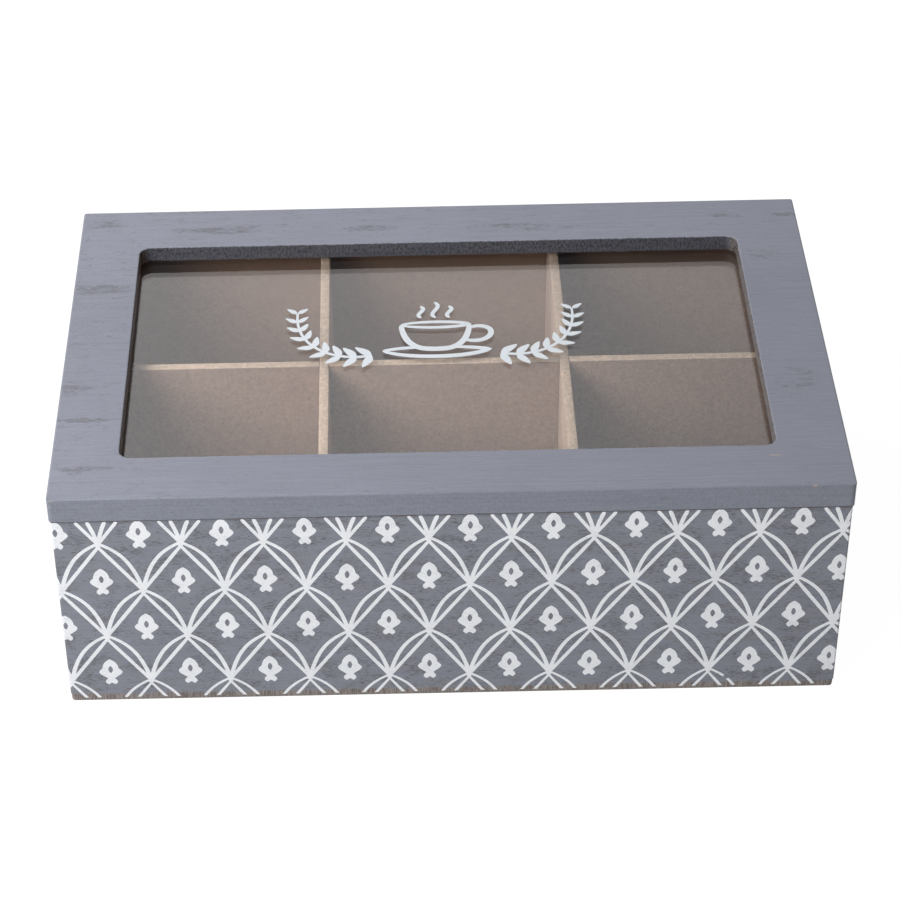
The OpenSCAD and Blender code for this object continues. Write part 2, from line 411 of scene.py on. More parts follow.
def draw_spot(sheet: NodeSheet, ends: Fields) -> Fields:
    """Draws one ragged chip or rub.

    Args:
        sheet: The group's sheet.
        ends: Its Centre and its Reach along each axis.

    Returns:
        Mask, 1 in the spot.
    """
    place = sheet.place()
    away = sheet.vector("SUBTRACT", place, ends["Centre"])
    reach = sheet.length(sheet.vector("DIVIDE", away, ends["Reach"]))
    ragged = sheet.noise(sheet.vector("SCALE", place, 1 / (0.8 * MM)), 3.0, 0.65)
    return {"Mask": 1.0 - sheet.step(ragged.scaled(1.4, reach - 0.7), 0.8, 1.0)}


ORIGIN = (0.0, 0.0, 0.0)
SEED = ("Seed", 0.0)
GRAIN = (("Length", 20 * MM), ("Width", 1 * MM), ("Warp", 1 * MM))
PATCH = (("Cluster", 30 * MM), ("Rows", 0.45), ("Level", 0.7))
STREAKS = Effect("grain_streaks", draw_streaks, (*GRAIN, SEED))
PORE_FLECKS = Effect("pore_flecks", draw_pores, (*GRAIN, *PATCH, SEED))
SPECKLE = Effect("speckle", draw_speckle, (("Size", 1 * MM), SEED))
EDGE_WEAR = Effect(
    "edge_wear",
    draw_wear,
    (("Low", ORIGIN), ("High", ORIGIN), ("Width", 1 * MM), ("Size", 3 * MM), ("Amount", 0.4)),
)
WORN_SPOT = Effect("worn_spot", draw_spot, (("Centre", ORIGIN), ("Reach", (MM, MM, MM))))


# ------------------------------------------------------------------------ finishes


class MaterialSheet(NodeSheet):
    """A material's node tree, with what several finishes draw alike."""

    def __init__(self, name: str) -> None:
        """Makes an empty material.

        Args:
            name: The material's name.
        """
        self.material = bpy.data.materials.new(name)
        self.material.use_nodes = True
        super().__init__(self.material.node_tree)

    def speckle(self, size: float, seed: float) -> Fields:
        """Places a speckle."""
        return self.effect(SPECKLE, Size=size, Seed=seed)

    def streaks(self, length: float, width: float, warp: float, seed: float) -> Fields:
        """Places streaks."""
        return self.effect(STREAKS, Length=length, Width=width, Warp=warp, Seed=seed)

    def spotted(self, mask: Field, spots: Sequence[Spot]) -> Field:
        """Adds ragged spots to a mask.

        Args:
            mask: The mask.
            spots: Centre and reach of each spot.

        Returns:
            The mask with the spots.
        """
        for centre, reach in spots:
            spot = self.effect(WORN_SPOT, Centre=centre, Reach=reach)["Mask"]
            mask = self.math("MAXIMUM", mask, spot)
        return mask

    def vary(self, colour: Value, *tones: Tuple[Field, Value]) -> Field:
        """Lightens and darkens a colour by tones about 0.

        Args:
            colour: The colour.
            tones: Pairs of a tone and how much of it to use.

        Returns:
            The varied colour.
        """
        level: Value = 1.0
        for tone, amount in tones:
            level = tone.scaled(amount, level)
        return self.vector("SCALE", colour if isinstance(colour, Field) else colour[:3], level)

    def surface(self, shader: Field) -> bpy.types.Material:
        """Gives the material its shader and returns the material."""
        self.add("ShaderNodeOutputMaterial", {"Surface": shader})
        return self.material

    def finish(
        self, colour: Field, height: Field, depth: float, roughness: Value, metallic: float = 0.0
    ) -> bpy.types.Material:
        """Adds the Principled BSDF and returns the material.

        Args:
            colour: Base colour.
            height: Height of the relief, from 0 to 1.
            depth: Depth of the relief.
            roughness: Roughness.
            metallic: 1 for metal.

        Returns:
            The finished material.
        """
        inputs = {
            "Base Color": colour,
            "Roughness": roughness,
            "Metallic": metallic,
            "Normal": self.take("ShaderNodeBump", {"Height": height, "Distance": depth}),
        }
        return self.surface(self.take("ShaderNodeBsdfPrincipled", inputs))


@dataclass(frozen=True)
class Opening:
    """A cut-out through a painted board, with its own tone on the cut faces.

    Args:
        low: Lowest corner of the cut-out, in plan.
        high: Highest corner of the cut-out, in plan.
        radius: Radius of its corners.
        colour: Colour of the cut faces.
        painted_shade_left_colour: Colour of the left one: painted shade, darker and browner.
        right_colour: Colour of the right one.
    """

    low: Point
    high: Point
    radius: float
    colour: Colour
    painted_shade_left_colour: Colour
    right_colour: Colour

    def tinted(self, sheet: MaterialSheet, colour: Field) -> Tuple[Field, Field]:
        """Colours the cut faces.

        Args:
            sheet: The material's sheet.
            colour: The board's colour.

        Returns:
            The new colour and a mask for the cut faces.
        """
        x, y, _z = sheet.axes()
        past = []
        for axis, low, high in zip((x, y), self.low, self.high):
            straight = (high - low) / 2 - self.radius
            past.append(sheet.math("MAXIMUM", abs(axis - (low + high) / 2) - straight, 0.0))
        reach = sheet.length(sheet.combine(*past, 0.0))
        ragged = sheet.speckle(0.9 * MM, seed=22.0)["Tone"]
        cut = reach < ragged.scaled(0.12 * MM, self.radius + 0.15 * MM)
        # Painted shade: the left cut face, which looks away from the key lamp, is darker and
        # browner.
        left = x < self.low[0] + self.radius * 0.5
        right = x > self.high[0] - self.radius * 0.5
        faces = sheet.tint(left, self.colour, self.painted_shade_left_colour)
        faces = sheet.tint(right, faces, self.right_colour)
        return sheet.tint(cut, colour, faces), cut


@dataclass(frozen=True)
class Pores:
    """The open pores of the veneer, which show through paint and ink.

    Args:
        colour: Their colour.
        level: Their threshold; lower gives more of them.
        length: Their length along the grain.
        width: Their width.
        cluster: Length of the patches that they gather in.
        rows: Height of a patch as a share of its length.
        drift: Rise of the threshold per metre, across and back.
        crowds: Single crowded patches: place across and back, half width and half
            depth, all in mm, and how far the threshold drops.
    """

    colour: Colour
    level: float
    length: float = 1.7 * MM
    width: float = 0.3 * MM
    cluster: float = 9 * MM
    rows: float = 0.45
    drift: Point = (0.0, 0.0)
    crowds: Tuple[Tuple[float, ...], ...] = ()

    def mask(self, sheet: MaterialSheet) -> Field:
        """Draws the pores.

        Args:
            sheet: The material's sheet.

        Returns:
            1 in a pore, 0 beside it.
        """
        x, y, _z = sheet.axes()
        level: Value = self.level
        for axis, rise in zip((x, y), self.drift):
            if rise:
                level = axis.scaled(rise, level)
        for across, back, half_width, half_depth, drop in self.crowds:
            aside = (x - across * MM) / (half_width * MM)
            behind = (y - back * MM) / (half_depth * MM)
            away = sheet.length(sheet.combine(aside, behind, 0.0))
            level = (1.0 - sheet.step(away, 0.4, 1.0)).scaled(-drop, level)
        return sheet.effect(
            PORE_FLECKS,
            Length=self.length,
            Width=self.width,
            Warp=0.8 * MM,
            Cluster=self.cluster,
            Rows=self.rows,
            Level=level,
            Seed=3.0,
        )["Mask"]


@dataclass(frozen=True)
class Paint:
    """Grey eggshell paint, brushed over a veneered board.

    Args:
        name: The material's name.
        colour: Colour of the flat faces.
        edge_colour: Colour of the board's upright faces.
        pores: The open pores.
        low: Lowest corner of the painted board.
        high: Highest corner of the painted board.
        warm: Share of the warm undercoat that shows in thin patches.
        warm_colour: Colour of the undercoat.
        grit: Strength of the fine cut grain on upright faces.
        cut_grit: Its strength on the faces of the opening.
        painted_back_light: Painted light: how much paler the paint is made towards the back.
        painted_back_light_run: Where that painted light starts and is full, front to back.
        tones: Strengths of the long and the short streaks, the patches and the
            fine speckle.
        pore_share: How strongly the pores show.
        wear: Share of the outer edges that is rubbed bare.
        wear_width: How far the rubbing reaches in from the edges.
        bare_share: How strongly the rubbed wood shows.
        bare_colour: Colour of the rubbed wood.
        spots: Centre and reach of single chips.
        opening: The cut-out through the board, where there is one.
    """

    name: str
    colour: Colour
    edge_colour: Colour
    pores: Pores
    low: Vector
    high: Vector
    warm: float = 0.0
    warm_colour: Colour = srgb(134, 126, 121)
    grit: float = 0.0
    cut_grit: float = 1.15
    painted_back_light: float = 0.0
    painted_back_light_run: Point = (20 * MM, 55 * MM)
    tones: Tuple[float, ...] = (0.075, 0.08, 0.035, 0.06)
    pore_share: float = 0.62
    wear: float = 0.35
    wear_width: float = 1.1 * MM
    bare_share: float = 0.6
    bare_colour: Colour = srgb(190, 168, 148)
    spots: Tuple[Spot, ...] = ()
    opening: Optional[Opening] = None

    def base(self, sheet: MaterialSheet, place: Fields) -> Tuple[Field, Field]:
        """Chooses the colour of each face and the strength of its cut grain.

        Args:
            sheet: The material's sheet.
            place: The board's directions.

        Returns:
            Colour and strength of the cut grain.
        """
        colour = sheet.tint(place["Flat"], self.edge_colour, self.colour)
        grit = (1.0 - place["Flat"]) * self.grit
        if self.opening:
            colour, cut = self.opening.tinted(sheet, colour)
            grit = sheet.blend(cut, grit, self.cut_grit)
        return colour, grit

    def painted(self, sheet: MaterialSheet) -> Tuple[Field, Field, Field]:
        """Draws the paint itself.

        Args:
            sheet: The material's sheet.

        Returns:
            Colour, roughness and height.
        """
        place = sheet.effect(BOARD_PLACE)
        long = sheet.streaks(34 * MM, 0.85 * MM, warp=1.6 * MM, seed=1.0)
        short = sheet.streaks(6 * MM, 0.42 * MM, warp=0.8 * MM, seed=5.0)
        thin = sheet.streaks(8 * MM, 2.4 * MM, warp=5 * MM, seed=21.0)
        patches = sheet.speckle(24 * MM, seed=2.0)
        fine = sheet.speckle(0.55 * MM, seed=9.0)
        pores = self.pores.mask(sheet)
        _x, back, _z = sheet.axes()
        base, grit = self.base(sheet, place)
        cut_place = sheet.combine(
            place["Along"] / (0.65 * MM), place["Across"] / (1.4 * MM), place["Depth"] * DEPTH_STEP
        )
        cut_grain = sheet.step(sheet.noise(cut_place, 2.0, 0.7), 0.38, 0.62) - 0.5
        drawn = (long["Tone"], short["Tone"], patches["Tone"], fine["Tone"])
        # Painted light: the paint is made paler towards the back, where the lamps light it less.
        painted_back_light_tone = (sheet.step(back, *self.painted_back_light_run), self.painted_back_light)
        toned = sheet.vary(base, *zip(drawn, self.tones), (cut_grain, grit), painted_back_light_tone)
        warmth = sheet.step(thin["Height"], 0.45, 0.68) * self.warm
        toned = sheet.tint(warmth, toned, self.warm_colour)
        colour = sheet.tint(pores * self.pore_share, toned, self.pores.colour)
        roughness = short["Tone"].scaled(0.05, 0.5)
        return colour, roughness, short["Height"].scaled(0.5, fine["Height"]) - pores

    def worn(self, sheet: MaterialSheet, colour: Field) -> Field:
        """Rubs the paint away along the edges and at the given spots.

        Args:
            sheet: The material's sheet.
            colour: The unworn colour.

        Returns:
            The worn colour.
        """
        rubbed = sheet.effect(
            EDGE_WEAR,
            Low=tuple(self.low),
            High=tuple(self.high),
            Width=self.wear_width,
            Size=2.6 * MM,
            Amount=self.wear,
        )["Mask"]
        bare = sheet.spotted(rubbed, self.spots) * self.bare_share
        return sheet.tint(bare, colour, self.bare_colour)

    def build(self) -> bpy.types.Material:
        """Builds the material.

        Returns:
            The material, with its paint worn.
        """
        sheet = MaterialSheet(self.name)
        colour, roughness, height = self.painted(sheet)
        return sheet.finish(self.worn(sheet, colour), height, PAINT_RELIEF, roughness)


@dataclass(frozen=True)
class RawBoard:
    """Bare fibreboard with fine fibres; its sawn edges may differ from its faces.

    Args:
        name: The material's name.
        colour: Colour of the upright faces.
        sawn_colour: Colour of the sawn edges, which look up and down.
        tones: Strengths of the fine fibres, their clumps, the clouds and the strands.
    """

    name: str = "raw_fibreboard"
    colour: Colour = srgb(199, 173, 152)
    sawn_colour: Colour = srgb(204, 181, 157)
    tones: Tuple[float, ...] = (0.28, 0.1, 0.03, 0.06)

    def fibres(self, sheet: MaterialSheet) -> Tuple[Field, Field]:
        """Draws the bare board.

        Args:
            sheet: The material's sheet.

        Returns:
            Colour and height.
        """
        fine = sheet.speckle(0.85 * MM, seed=4.0)
        clumps = sheet.speckle(2.4 * MM, seed=6.0)
        cloud = sheet.speckle(24 * MM, seed=7.0)
        strands = sheet.streaks(3.5 * MM, 0.4 * MM, warp=0.6 * MM, seed=8.0)
        base = sheet.tint(sheet.effect(BOARD_PLACE)["Flat"], self.colour, self.sawn_colour)
        drawn = (fine["Tone"], clumps["Tone"], cloud["Tone"], strands["Tone"])
        colour = sheet.vary(base, *zip(drawn, self.tones))
        return colour, fine["Height"] + strands["Height"]

    def build(self) -> bpy.types.Material:
        """Builds the material.

        Returns:
            The material.
        """
        sheet = MaterialSheet(self.name)
        colour, height = self.fibres(sheet)
        return sheet.finish(colour, height, depth=0.002 * MM, roughness=BARE_ROUGHNESS)


@dataclass(frozen=True)
class PaintedWall:
    """A wall board: painted outside and on its rim, bare board inside.

    Args:
        paint: The outer finish.
        board: The inner finish.
        inner: Half width and half depth of the space between the walls.
        painted_rim_shadow_colour: Colour of the bare board's top strip: painted shadow of the lid.
        painted_rim_shadow: Depths below the rim where that painted shadow ends and is darkest.
        painted_lid_shade: How strongly painted shade, in the pores' colour, dulls the paint at the
            rim.
        painted_lid_shade_run: Depths below the rim where that painted shade starts and is full.
    """

    paint: Paint
    board: RawBoard
    inner: Point
    painted_rim_shadow_colour: Colour = srgb(114, 88, 66)
    painted_rim_shadow: Point = (18 * MM, 11 * MM)
    painted_lid_shade: float = 0.3
    painted_lid_shade_run: Point = (1.2 * MM, 0.3 * MM)

    def build(self) -> bpy.types.Material:
        """Builds the material.

        Returns:
            The material, which turns from paint to bare board just past the rim's
            inner edge.
        """
        sheet = MaterialSheet(self.paint.name)
        colour, roughness, height = self.paint.painted(sheet)
        colour = self.paint.worn(sheet, colour)
        bare, bare_height = self.board.fibres(sheet)
        x, y, z = sheet.axes()
        rim = self.paint.high.z
        # Painted shadow: the bare board's top strip, under the lid's rail, is darkened.
        painted_rim_shadow = sheet.step(z, *(rim - depth for depth in self.painted_rim_shadow))
        bare = sheet.tint(painted_rim_shadow, bare, self.painted_rim_shadow_colour)
        # Painted shade: the paint just below the rim is dulled, where the lid's edge shades the
        # join.
        painted_lid_shade = sheet.step(z, *(rim - depth for depth in self.painted_lid_shade_run)) * self.painted_lid_shade
        colour = sheet.tint(painted_lid_shade, colour, self.paint.pores.colour)
        margin = sheet.speckle(1.6 * MM, seed=11.0)["Tone"].scaled(0.25 * MM, 0.6 * MM)
        inside = (abs(x) < margin + self.inner[0]) * (abs(y) < margin + self.inner[1])
        return sheet.finish(
            sheet.tint(inside, colour, bare),
            sheet.blend(inside, height, bare_height * 0.06),
            PAINT_RELIEF,
            sheet.blend(inside, roughness, BARE_ROUGHNESS),
        )


@dataclass(frozen=True)
class Hardboard:
    """Brown hardboard: smooth faces and a coarser sawn edge with upright tears.

    Args:
        name: The material's name.
        face_colour: Colour of the faces.
        edge_colour: Colour of the sawn edge.
        tear_colour: Colour of its tears.
        lap_colour: Colour of the walls' paint, which laps over the edge's top.
        lap: Heights where the lap ends and where it is full.
        lap_share: How strongly it shows.
    """

    name: str = "brown_hardboard"
    face_colour: Colour = srgb(128, 96, 70)
    edge_colour: Colour = srgb(147, 139, 135)
    tear_colour: Colour = srgb(109, 99, 94)
    lap_colour: Colour = srgb(133, 137, 148)
    lap: Point = (2.45 * MM, 2.85 * MM)
    lap_share: float = 0.7

    def build(self) -> bpy.types.Material:
        """Builds the material.

        Returns:
            The material; the lap of paint ends in a ragged line.
        """
        sheet = MaterialSheet(self.name)
        place = sheet.effect(BOARD_PLACE)
        tears_place = sheet.combine(
            place["Along"] / (0.4 * MM), place["Across"] / (4 * MM), place["Depth"] * DEPTH_STEP
        )
        tears = sheet.noise(tears_place, 3.0, 0.65)
        fine = sheet.speckle(0.6 * MM, seed=12.0)
        clumps = sheet.speckle(5 * MM, seed=13.0)
        edge = sheet.tint(sheet.step(tears, 0.42, 0.62), self.edge_colour, self.tear_colour)
        _x, _y, up = sheet.axes()
        from_top = sheet.speckle(2.2 * MM, seed=16.0)["Tone"].scaled(0.8 * MM, up)
        lap = sheet.step(from_top, *self.lap) * self.lap_share
        edge = sheet.tint(lap, edge, self.lap_colour)
        base = sheet.tint(place["Flat"], edge, self.face_colour)
        colour = sheet.vary(base, (fine["Tone"], 0.09), (clumps["Tone"], 0.14))
        return sheet.finish(colour, fine["Height"] - tears, depth=0.06 * MM, roughness=0.66)


@dataclass(frozen=True)
class PrintInk:
    """Block-print white, thin enough that the wood's pores break it here and there.

    Args:
        name: The material's name.
        colour: The ink.
        ground: What shows through the breaks.
        pores: The pores of the board below.
        thin: How strongly the pores show through the ink.
        painted_right_light: Painted light: how much lighter the ink is made at its right end.
        painted_right_light_run: Where that painted light starts and is full, across the box.
        gaps: Centre and reach of the places that the block missed.
    """

    name: str
    colour: Colour
    ground: Colour
    pores: Pores
    thin: float = 0.12
    painted_right_light: float = 0.0
    painted_right_light_run: Point = (-120 * MM, 160 * MM)
    gaps: Tuple[Spot, ...] = ()

    def build(self) -> bpy.types.Material:
        """Builds the material.

        Returns:
            The material, in which the pores are faint and the gaps are clear.
        """
        sheet = MaterialSheet(self.name)
        pores = self.pores.mask(sheet)
        fine = sheet.speckle(0.8 * MM, seed=14.0)
        cloud = sheet.speckle(9 * MM, seed=15.0)
        across, _y, _z = sheet.axes()
        # Painted light: the ink is made lighter towards its right end, where the lamps light it
        # less.
        inked = sheet.vary(
            self.colour,
            (fine["Tone"], 0.02),
            (cloud["Tone"], 0.02),
            (sheet.step(across, *self.painted_right_light_run), self.painted_right_light),
        )
        colour = sheet.tint(sheet.spotted(pores * self.thin, self.gaps), inked, self.ground)
        return sheet.finish(colour, fine["Height"] - pores, depth=0.02 * MM, roughness=0.55)


@dataclass(frozen=True)
class WindowGlass:
    """Clear sheet glass with a faint film of dirt on its faces.

    Args:
        name: The material's name.
        colour: Colour of the glass.
        soft_light: Share of the soft light that passes.
        flat_loss: Share of the lamps' light that is lost at the right end, where
            it comes in at a flatter angle.
        loss_run: Where that loss starts and where it is full, across the lid.
    """

    name: str = "window_glass"
    colour: Colour = (0.975, 0.96, 0.97, 1.0)
    soft_light: float = 0.45
    flat_loss: float = 0.16
    loss_run: Point = (12 * MM, 60 * MM)

    def build(self) -> bpy.types.Material:
        """Builds the material.

        Returns:
            The material. Lamps and soft light pass straight through it, so that the
            light inside the box is not counted twice.
        """
        sheet = MaterialSheet(self.name)
        smear = sheet.speckle(14 * MM, seed=16.0)["Tone"]
        inputs = {
            "Base Color": sheet.vary(self.colour, (smear, 0.004)),
            "Roughness": 0.0,
            "Transmission Weight": 1.0,
            "IOR": 1.5,
        }
        glass = sheet.take("ShaderNodeBsdfPrincipled", inputs)
        rays = sheet.outputs("ShaderNodeLightPath")
        through = sheet.math("MAXIMUM", rays["Is Shadow Ray"], rays["Is Diffuse Ray"])
        x, _y, _z = sheet.axes()
        passed = 1.0 - sheet.step(x, *self.loss_run) * self.flat_loss
        level = sheet.blend(rays["Is Diffuse Ray"], passed, self.soft_light)
        grey = sheet.combine(level, level, level)
        clear = sheet.take("ShaderNodeBsdfTransparent", {"Color": grey})
        return sheet.surface(sheet.take("ShaderNodeMixShader", {0: through, 1: glass, 2: clear}))


@dataclass(frozen=True)
class SheetMetal:
    """Rolled or drawn metal with fine scratches and a little tarnish.

    Args:
        name: The material's name.
        colour: Bright metal.
        tarnish: Colour of the dull patches.
        roughness: Mean roughness of the bright metal.
        dull_share: How strongly the dull patches show.
    """

    name: str
    colour: Colour
    tarnish: Colour
    roughness: float
    dull_share: float = 0.6

    def build(self) -> bpy.types.Material:
        """Builds the material.

        Returns:
            The material, in which the dull patches are also rougher.
        """
        sheet = MaterialSheet(self.name)
        lines = sheet.streaks(5 * MM, 0.08 * MM, warp=0.1 * MM, seed=18.0)
        dull = sheet.step(sheet.speckle(3 * MM, seed=17.0)["Height"], 0.5, 0.72)
        base = sheet.tint(dull * self.dull_share, self.colour, self.tarnish)
        colour = sheet.vary(base, (lines["Tone"], 0.04))
        roughness = dull.scaled(0.15, self.roughness)
        return sheet.finish(colour, lines["Height"], 0.004 * MM, roughness, metallic=1.0)


# ------------------------------------------------------------------- mesh building

# Angles between two faces of a board: of one plane, of an edge that is eased, and
# of one that is shaded as a crease.
SAME_PLANE = math.radians(1)
EASED_EDGE = math.radians(60)
CREASE = math.radians(50)


def put(name: str, data: bpy.types.ID) -> bpy.types.Object:
    """Puts new data into the scene.

    Args:
        name: The object's name.
        data: Its data.

    Returns:
        The new object, at the origin.
    """
    thing = bpy.data.objects.new(name, data)
    bpy.context.scene.collection.objects.link(thing)
    return thing


def new_object(name: str, mesh: bpy.types.Mesh, material: bpy.types.Material) -> bpy.types.Object:
    """Puts a mesh into the scene with one material.

    Args:
        name: Name of the object and its mesh.
        mesh: The mesh.
        material: Its material.

    Returns:
        The new object, at the origin.
    """
    mesh.name = name
    mesh.materials.clear()
    mesh.materials.append(material)
    return put(name, mesh)


def dress_node(name: str, material: bpy.types.Material) -> None:
    """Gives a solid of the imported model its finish.

    Args:
        name: The node.
        material: Its material.
    """
    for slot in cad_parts[name].material_slots:
        slot.material = material
    LOG.info("node %-22s finish %s", name, material.name)


def eased_copy(
    node: str, name: str, width: float, material: bpy.types.Material
) -> bpy.types.Object:
    """Copies a sharp-edged board and eases its outward edges with sandpaper.

    Args:
        node: The solid to copy.
        name: Name of the new piece.
        width: Width of the eased edge.
        material: Its material.

    Returns:
        The new object.
    """
    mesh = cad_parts[node].data.copy()
    board = bmesh.new()
    board.from_mesh(mesh)
    bmesh.ops.remove_doubles(board, verts=board.verts, dist=1e-6)
    bmesh.ops.dissolve_limit(
        board, angle_limit=SAME_PLANE, verts=board.verts, edges=board.edges
    )
    sharp = [
        edge
        for edge in board.edges
        if edge.is_convex and edge.calc_face_angle(0.0) > EASED_EDGE
    ]
    bmesh.ops.bevel(
        board,
        geom=sharp,
        offset=width,
        segments=2,
        profile=0.5,
        affect="EDGES",
        clamp_overlap=True,
        loop_slide=False,
    )
    fresh = solid_mesh(name, board)
    bpy.data.meshes.remove(mesh)
    fresh.shade_smooth()
    fresh.set_sharp_from_angle(angle=CREASE)
    return new_object(name, fresh, material)


def solid_mesh(name: str, solid: bmesh.types.BMesh) -> bpy.types.Mesh:
    """Turns an edit mesh into a plain one, with its faces looking outward.

    Args:
        name: The mesh's name.
        solid: The edit mesh, which is freed.

    Returns:
        The plain mesh.
    """
    bmesh.ops.recalc_face_normals(solid, faces=solid.faces)
    mesh = bpy.data.meshes.new(name)
    solid.to_mesh(mesh)
    solid.free()
    return mesh


def smooth_ring(knots: Sequence[Point], steps: int = 2) -> List[Point]:
    """Runs a smooth closed line through some points.

    Args:
        knots: The points, in mm and in order round the ring.
        steps: Pieces between one point and the next.

    Returns:
        The points of the finer ring, in metres.
    """
    ring: List[Point] = []
    places = [Vector((x * MM, y * MM)) for x, y in knots]
    for index in range(len(places)):
        before, start, end, after = (places[(index + k) % len(places)] for k in (-1, 0, 1, 2))
        for step in range(steps):
            t = step / steps
            point = 0.5 * (
                2 * start
                + (end - before) * t
                + (2 * before - 5 * start + 4 * end - after) * t**2
                + (3 * start - before - 3 * end + after) * t**3
            )
            ring.append((point.x, point.y))
    return ring


def mirrored_ring(half: Sequence[Point]) -> List[Point]:
    """Mirrors half an outline about its upright axis and smooths the whole.

    Args:
        half: The right half from top to bottom, in mm, with both ends on the axis.

    Returns:
        The points of the ring, in metres.
    """
    return smooth_ring([*half, *((-x, y) for x, y in reversed(half[1:-1]))])


def flat_plate(name: str, rings: Sequence[Sequence[Point]], thickness: float) -> bpy.types.Object:
    """Makes a thin closed plate from an outline and its holes, to be repeated.

    Args:
        name: The plate's name.
        rings: The outline first, then the holes.
        thickness: The plate's thickness, half of it below the plane.

    Returns:
        The plate, in the XY plane.
    """
    loops = [[Vector((x, y, 0.0)) for x, y in ring] for ring in rings]
    plate = bmesh.new()
    layers = [
        [[plate.verts.new((p.x, p.y, side * thickness / 2)) for p in loop] for loop in loops]
        for side in (-1, 1)
    ]
    flat_layers = [[vert for loop in layer for vert in loop] for layer in layers]
    for triangle in tessellate_polygon(loops):
        for layer in flat_layers:
            plate.faces.new([layer[index] for index in triangle])
    for low, high in zip(*layers):
        for here in range(len(low)):
            following = (here + 1) % len(low)
            plate.faces.new((low[here], low[following], high[following], high[here]))
    return put(name, solid_mesh(name, plate))


def cut(
    solid: bmesh.types.BMesh, place: Sequence[float], square: Sequence[float], clear: bool
) -> List[bmesh.types.BMEdge]:
    """Cuts an edit mesh through by a plane.

    Args:
        solid: The edit mesh.
        place: A point in the plane.
        square: The direction square to the plane.
        clear: Takes away what lies past the plane.

    Returns:
        The edges along the cut.
    """
    whole = solid.verts[:] + solid.edges[:] + solid.faces[:]
    made = bmesh.ops.bisect_plane(
        solid, geom=whole, plane_co=place, plane_no=square, clear_outer=clear
    )
    return [item for item in made["geom_cut"] if isinstance(item, bmesh.types.BMEdge)]


class FlowTree(NodeSheet):
    """A Geometry Nodes tree with named inputs."""

    KINDS = {
        float: "NodeSocketFloat",
        int: "NodeSocketInt",
        bpy.types.Object: "NodeSocketObject",
        bpy.types.Material: "NodeSocketMaterial",
    }

    def __init__(self, name: str, inputs: Dict[str, object]) -> None:
        """Makes the tree.

        Args:
            name: The tree's name.
            inputs: Values by input name; an input takes the kind of its value.
        """
        super().__init__(bpy.data.node_groups.new(name, "GeometryNodeTree"))
        face = self.tree.interface
        face.new_socket(name="Geometry", in_out="INPUT", socket_type="NodeSocketGeometry")
        self.values: Dict[str, object] = {}
        for label, value in inputs.items():
            kind = self.KINDS[type(value)]
            socket = face.new_socket(name=label, in_out="INPUT", socket_type=kind)
            self.values[socket.identifier] = value
        face.new_socket(name="Geometry", in_out="OUTPUT", socket_type="NodeSocketGeometry")
        self.ends = self.outputs("NodeGroupInput")

    def level(self, line: Field) -> Field:
        """Turns a line's normals upright, so that a stroke swept along it lies flat."""
        return self.take("GeometryNodeSetCurveNormal", {0: line}, mode="Z_UP")

    def swept(self, line: Field, width: Value, film: Value, swell: Field) -> Field:
        """Sweeps a flat section along a line.

        Args:
            line: The line, with upright normals.
            width: The section's width.
            film: The section's thickness.
            swell: Scale of the section along the line.

        Returns:
            The closed mesh.
        """
        section = {"Width": width, "Height": film}
        inputs = {
            "Curve": line,
            "Profile Curve": self.take("GeometryNodeCurvePrimitiveQuadrilateral", section),
            "Scale": swell,
            "Fill Caps": True,
        }
        return self.take("GeometryNodeCurveToMesh", inputs)

    def shape(self, label: str) -> Field:
        """Returns the geometry of the object in an input."""
        return self.take("GeometryNodeObjectInfo", {"Object": self.ends[label]}, "Geometry")

    def scatter(self, points: Field, shape: Field, **more: Value) -> Field:
        """Sets a shape on each point."""
        inputs = {"Points": points, "Instance": shape, **more}
        return self.take("GeometryNodeInstanceOnPoints", inputs)

    def moved(self, geometry: Field, offset: Field) -> Field:
        """Moves the points of a geometry."""
        return self.take("GeometryNodeSetPosition", {"Geometry": geometry, "Offset": offset})

    def join(self, parts: Sequence[Field]) -> Field:
        """Joins geometries.

        Args:
            parts: The geometries, in order.

        Returns:
            The whole.
        """
        whole = self.add("GeometryNodeJoinGeometry")
        for part in parts:
            self.feed(whole.inputs[0], part)
        return Field(self, whole.outputs[0])

    def run(self, host: bpy.types.Object, geometry: Field) -> bpy.types.Mesh:
        """Ends the tree in Realize Instances and Set Material, and runs it.

        Args:
            host: The object that feeds the tree. It is deleted afterwards.
            geometry: What the tree gives.

        Returns:
            The resulting plain mesh.
        """
        real = self.take("GeometryNodeRealizeInstances", {0: geometry})
        finish = {0: real, "Material": self.ends["Finish"]}
        self.add("NodeGroupOutput", {0: self.take("GeometryNodeSetMaterial", finish)})
        modifier = host.modifiers.new(self.tree.name, "NODES")
        modifier.node_group = self.tree
        for identifier, value in self.values.items():
            modifier[identifier] = value
        graph = bpy.context.evaluated_depsgraph_get()
        mesh = bpy.data.meshes.new_from_object(host.evaluated_get(graph), depsgraph=graph)
        host.modifiers.remove(modifier)
        bpy.data.objects.remove(host)
        return mesh


# ------------------------------------------------------------------ front trellis


class Row(Enum):
    """The rows of the trellis, whose strokes differ in width and in where they start."""

    TOP = "top"
    BETWEEN = "between"
    LAST = "last"


@dataclass(frozen=True)
class Stroke:
    """One kind of stroke that runs down from a crossing.

    Args:
        line: Its middle line, in the XY plane, starting at the crossing.
        width: Its mean width.
        thickness: Share of the full film of ink.
        growth: Share that its width gains over its whole run.
        lag: How far its run is ahead of its fall where the top row is cut.
    """

    line: Field
    width: Field
    thickness: float
    growth: float
    lag: float


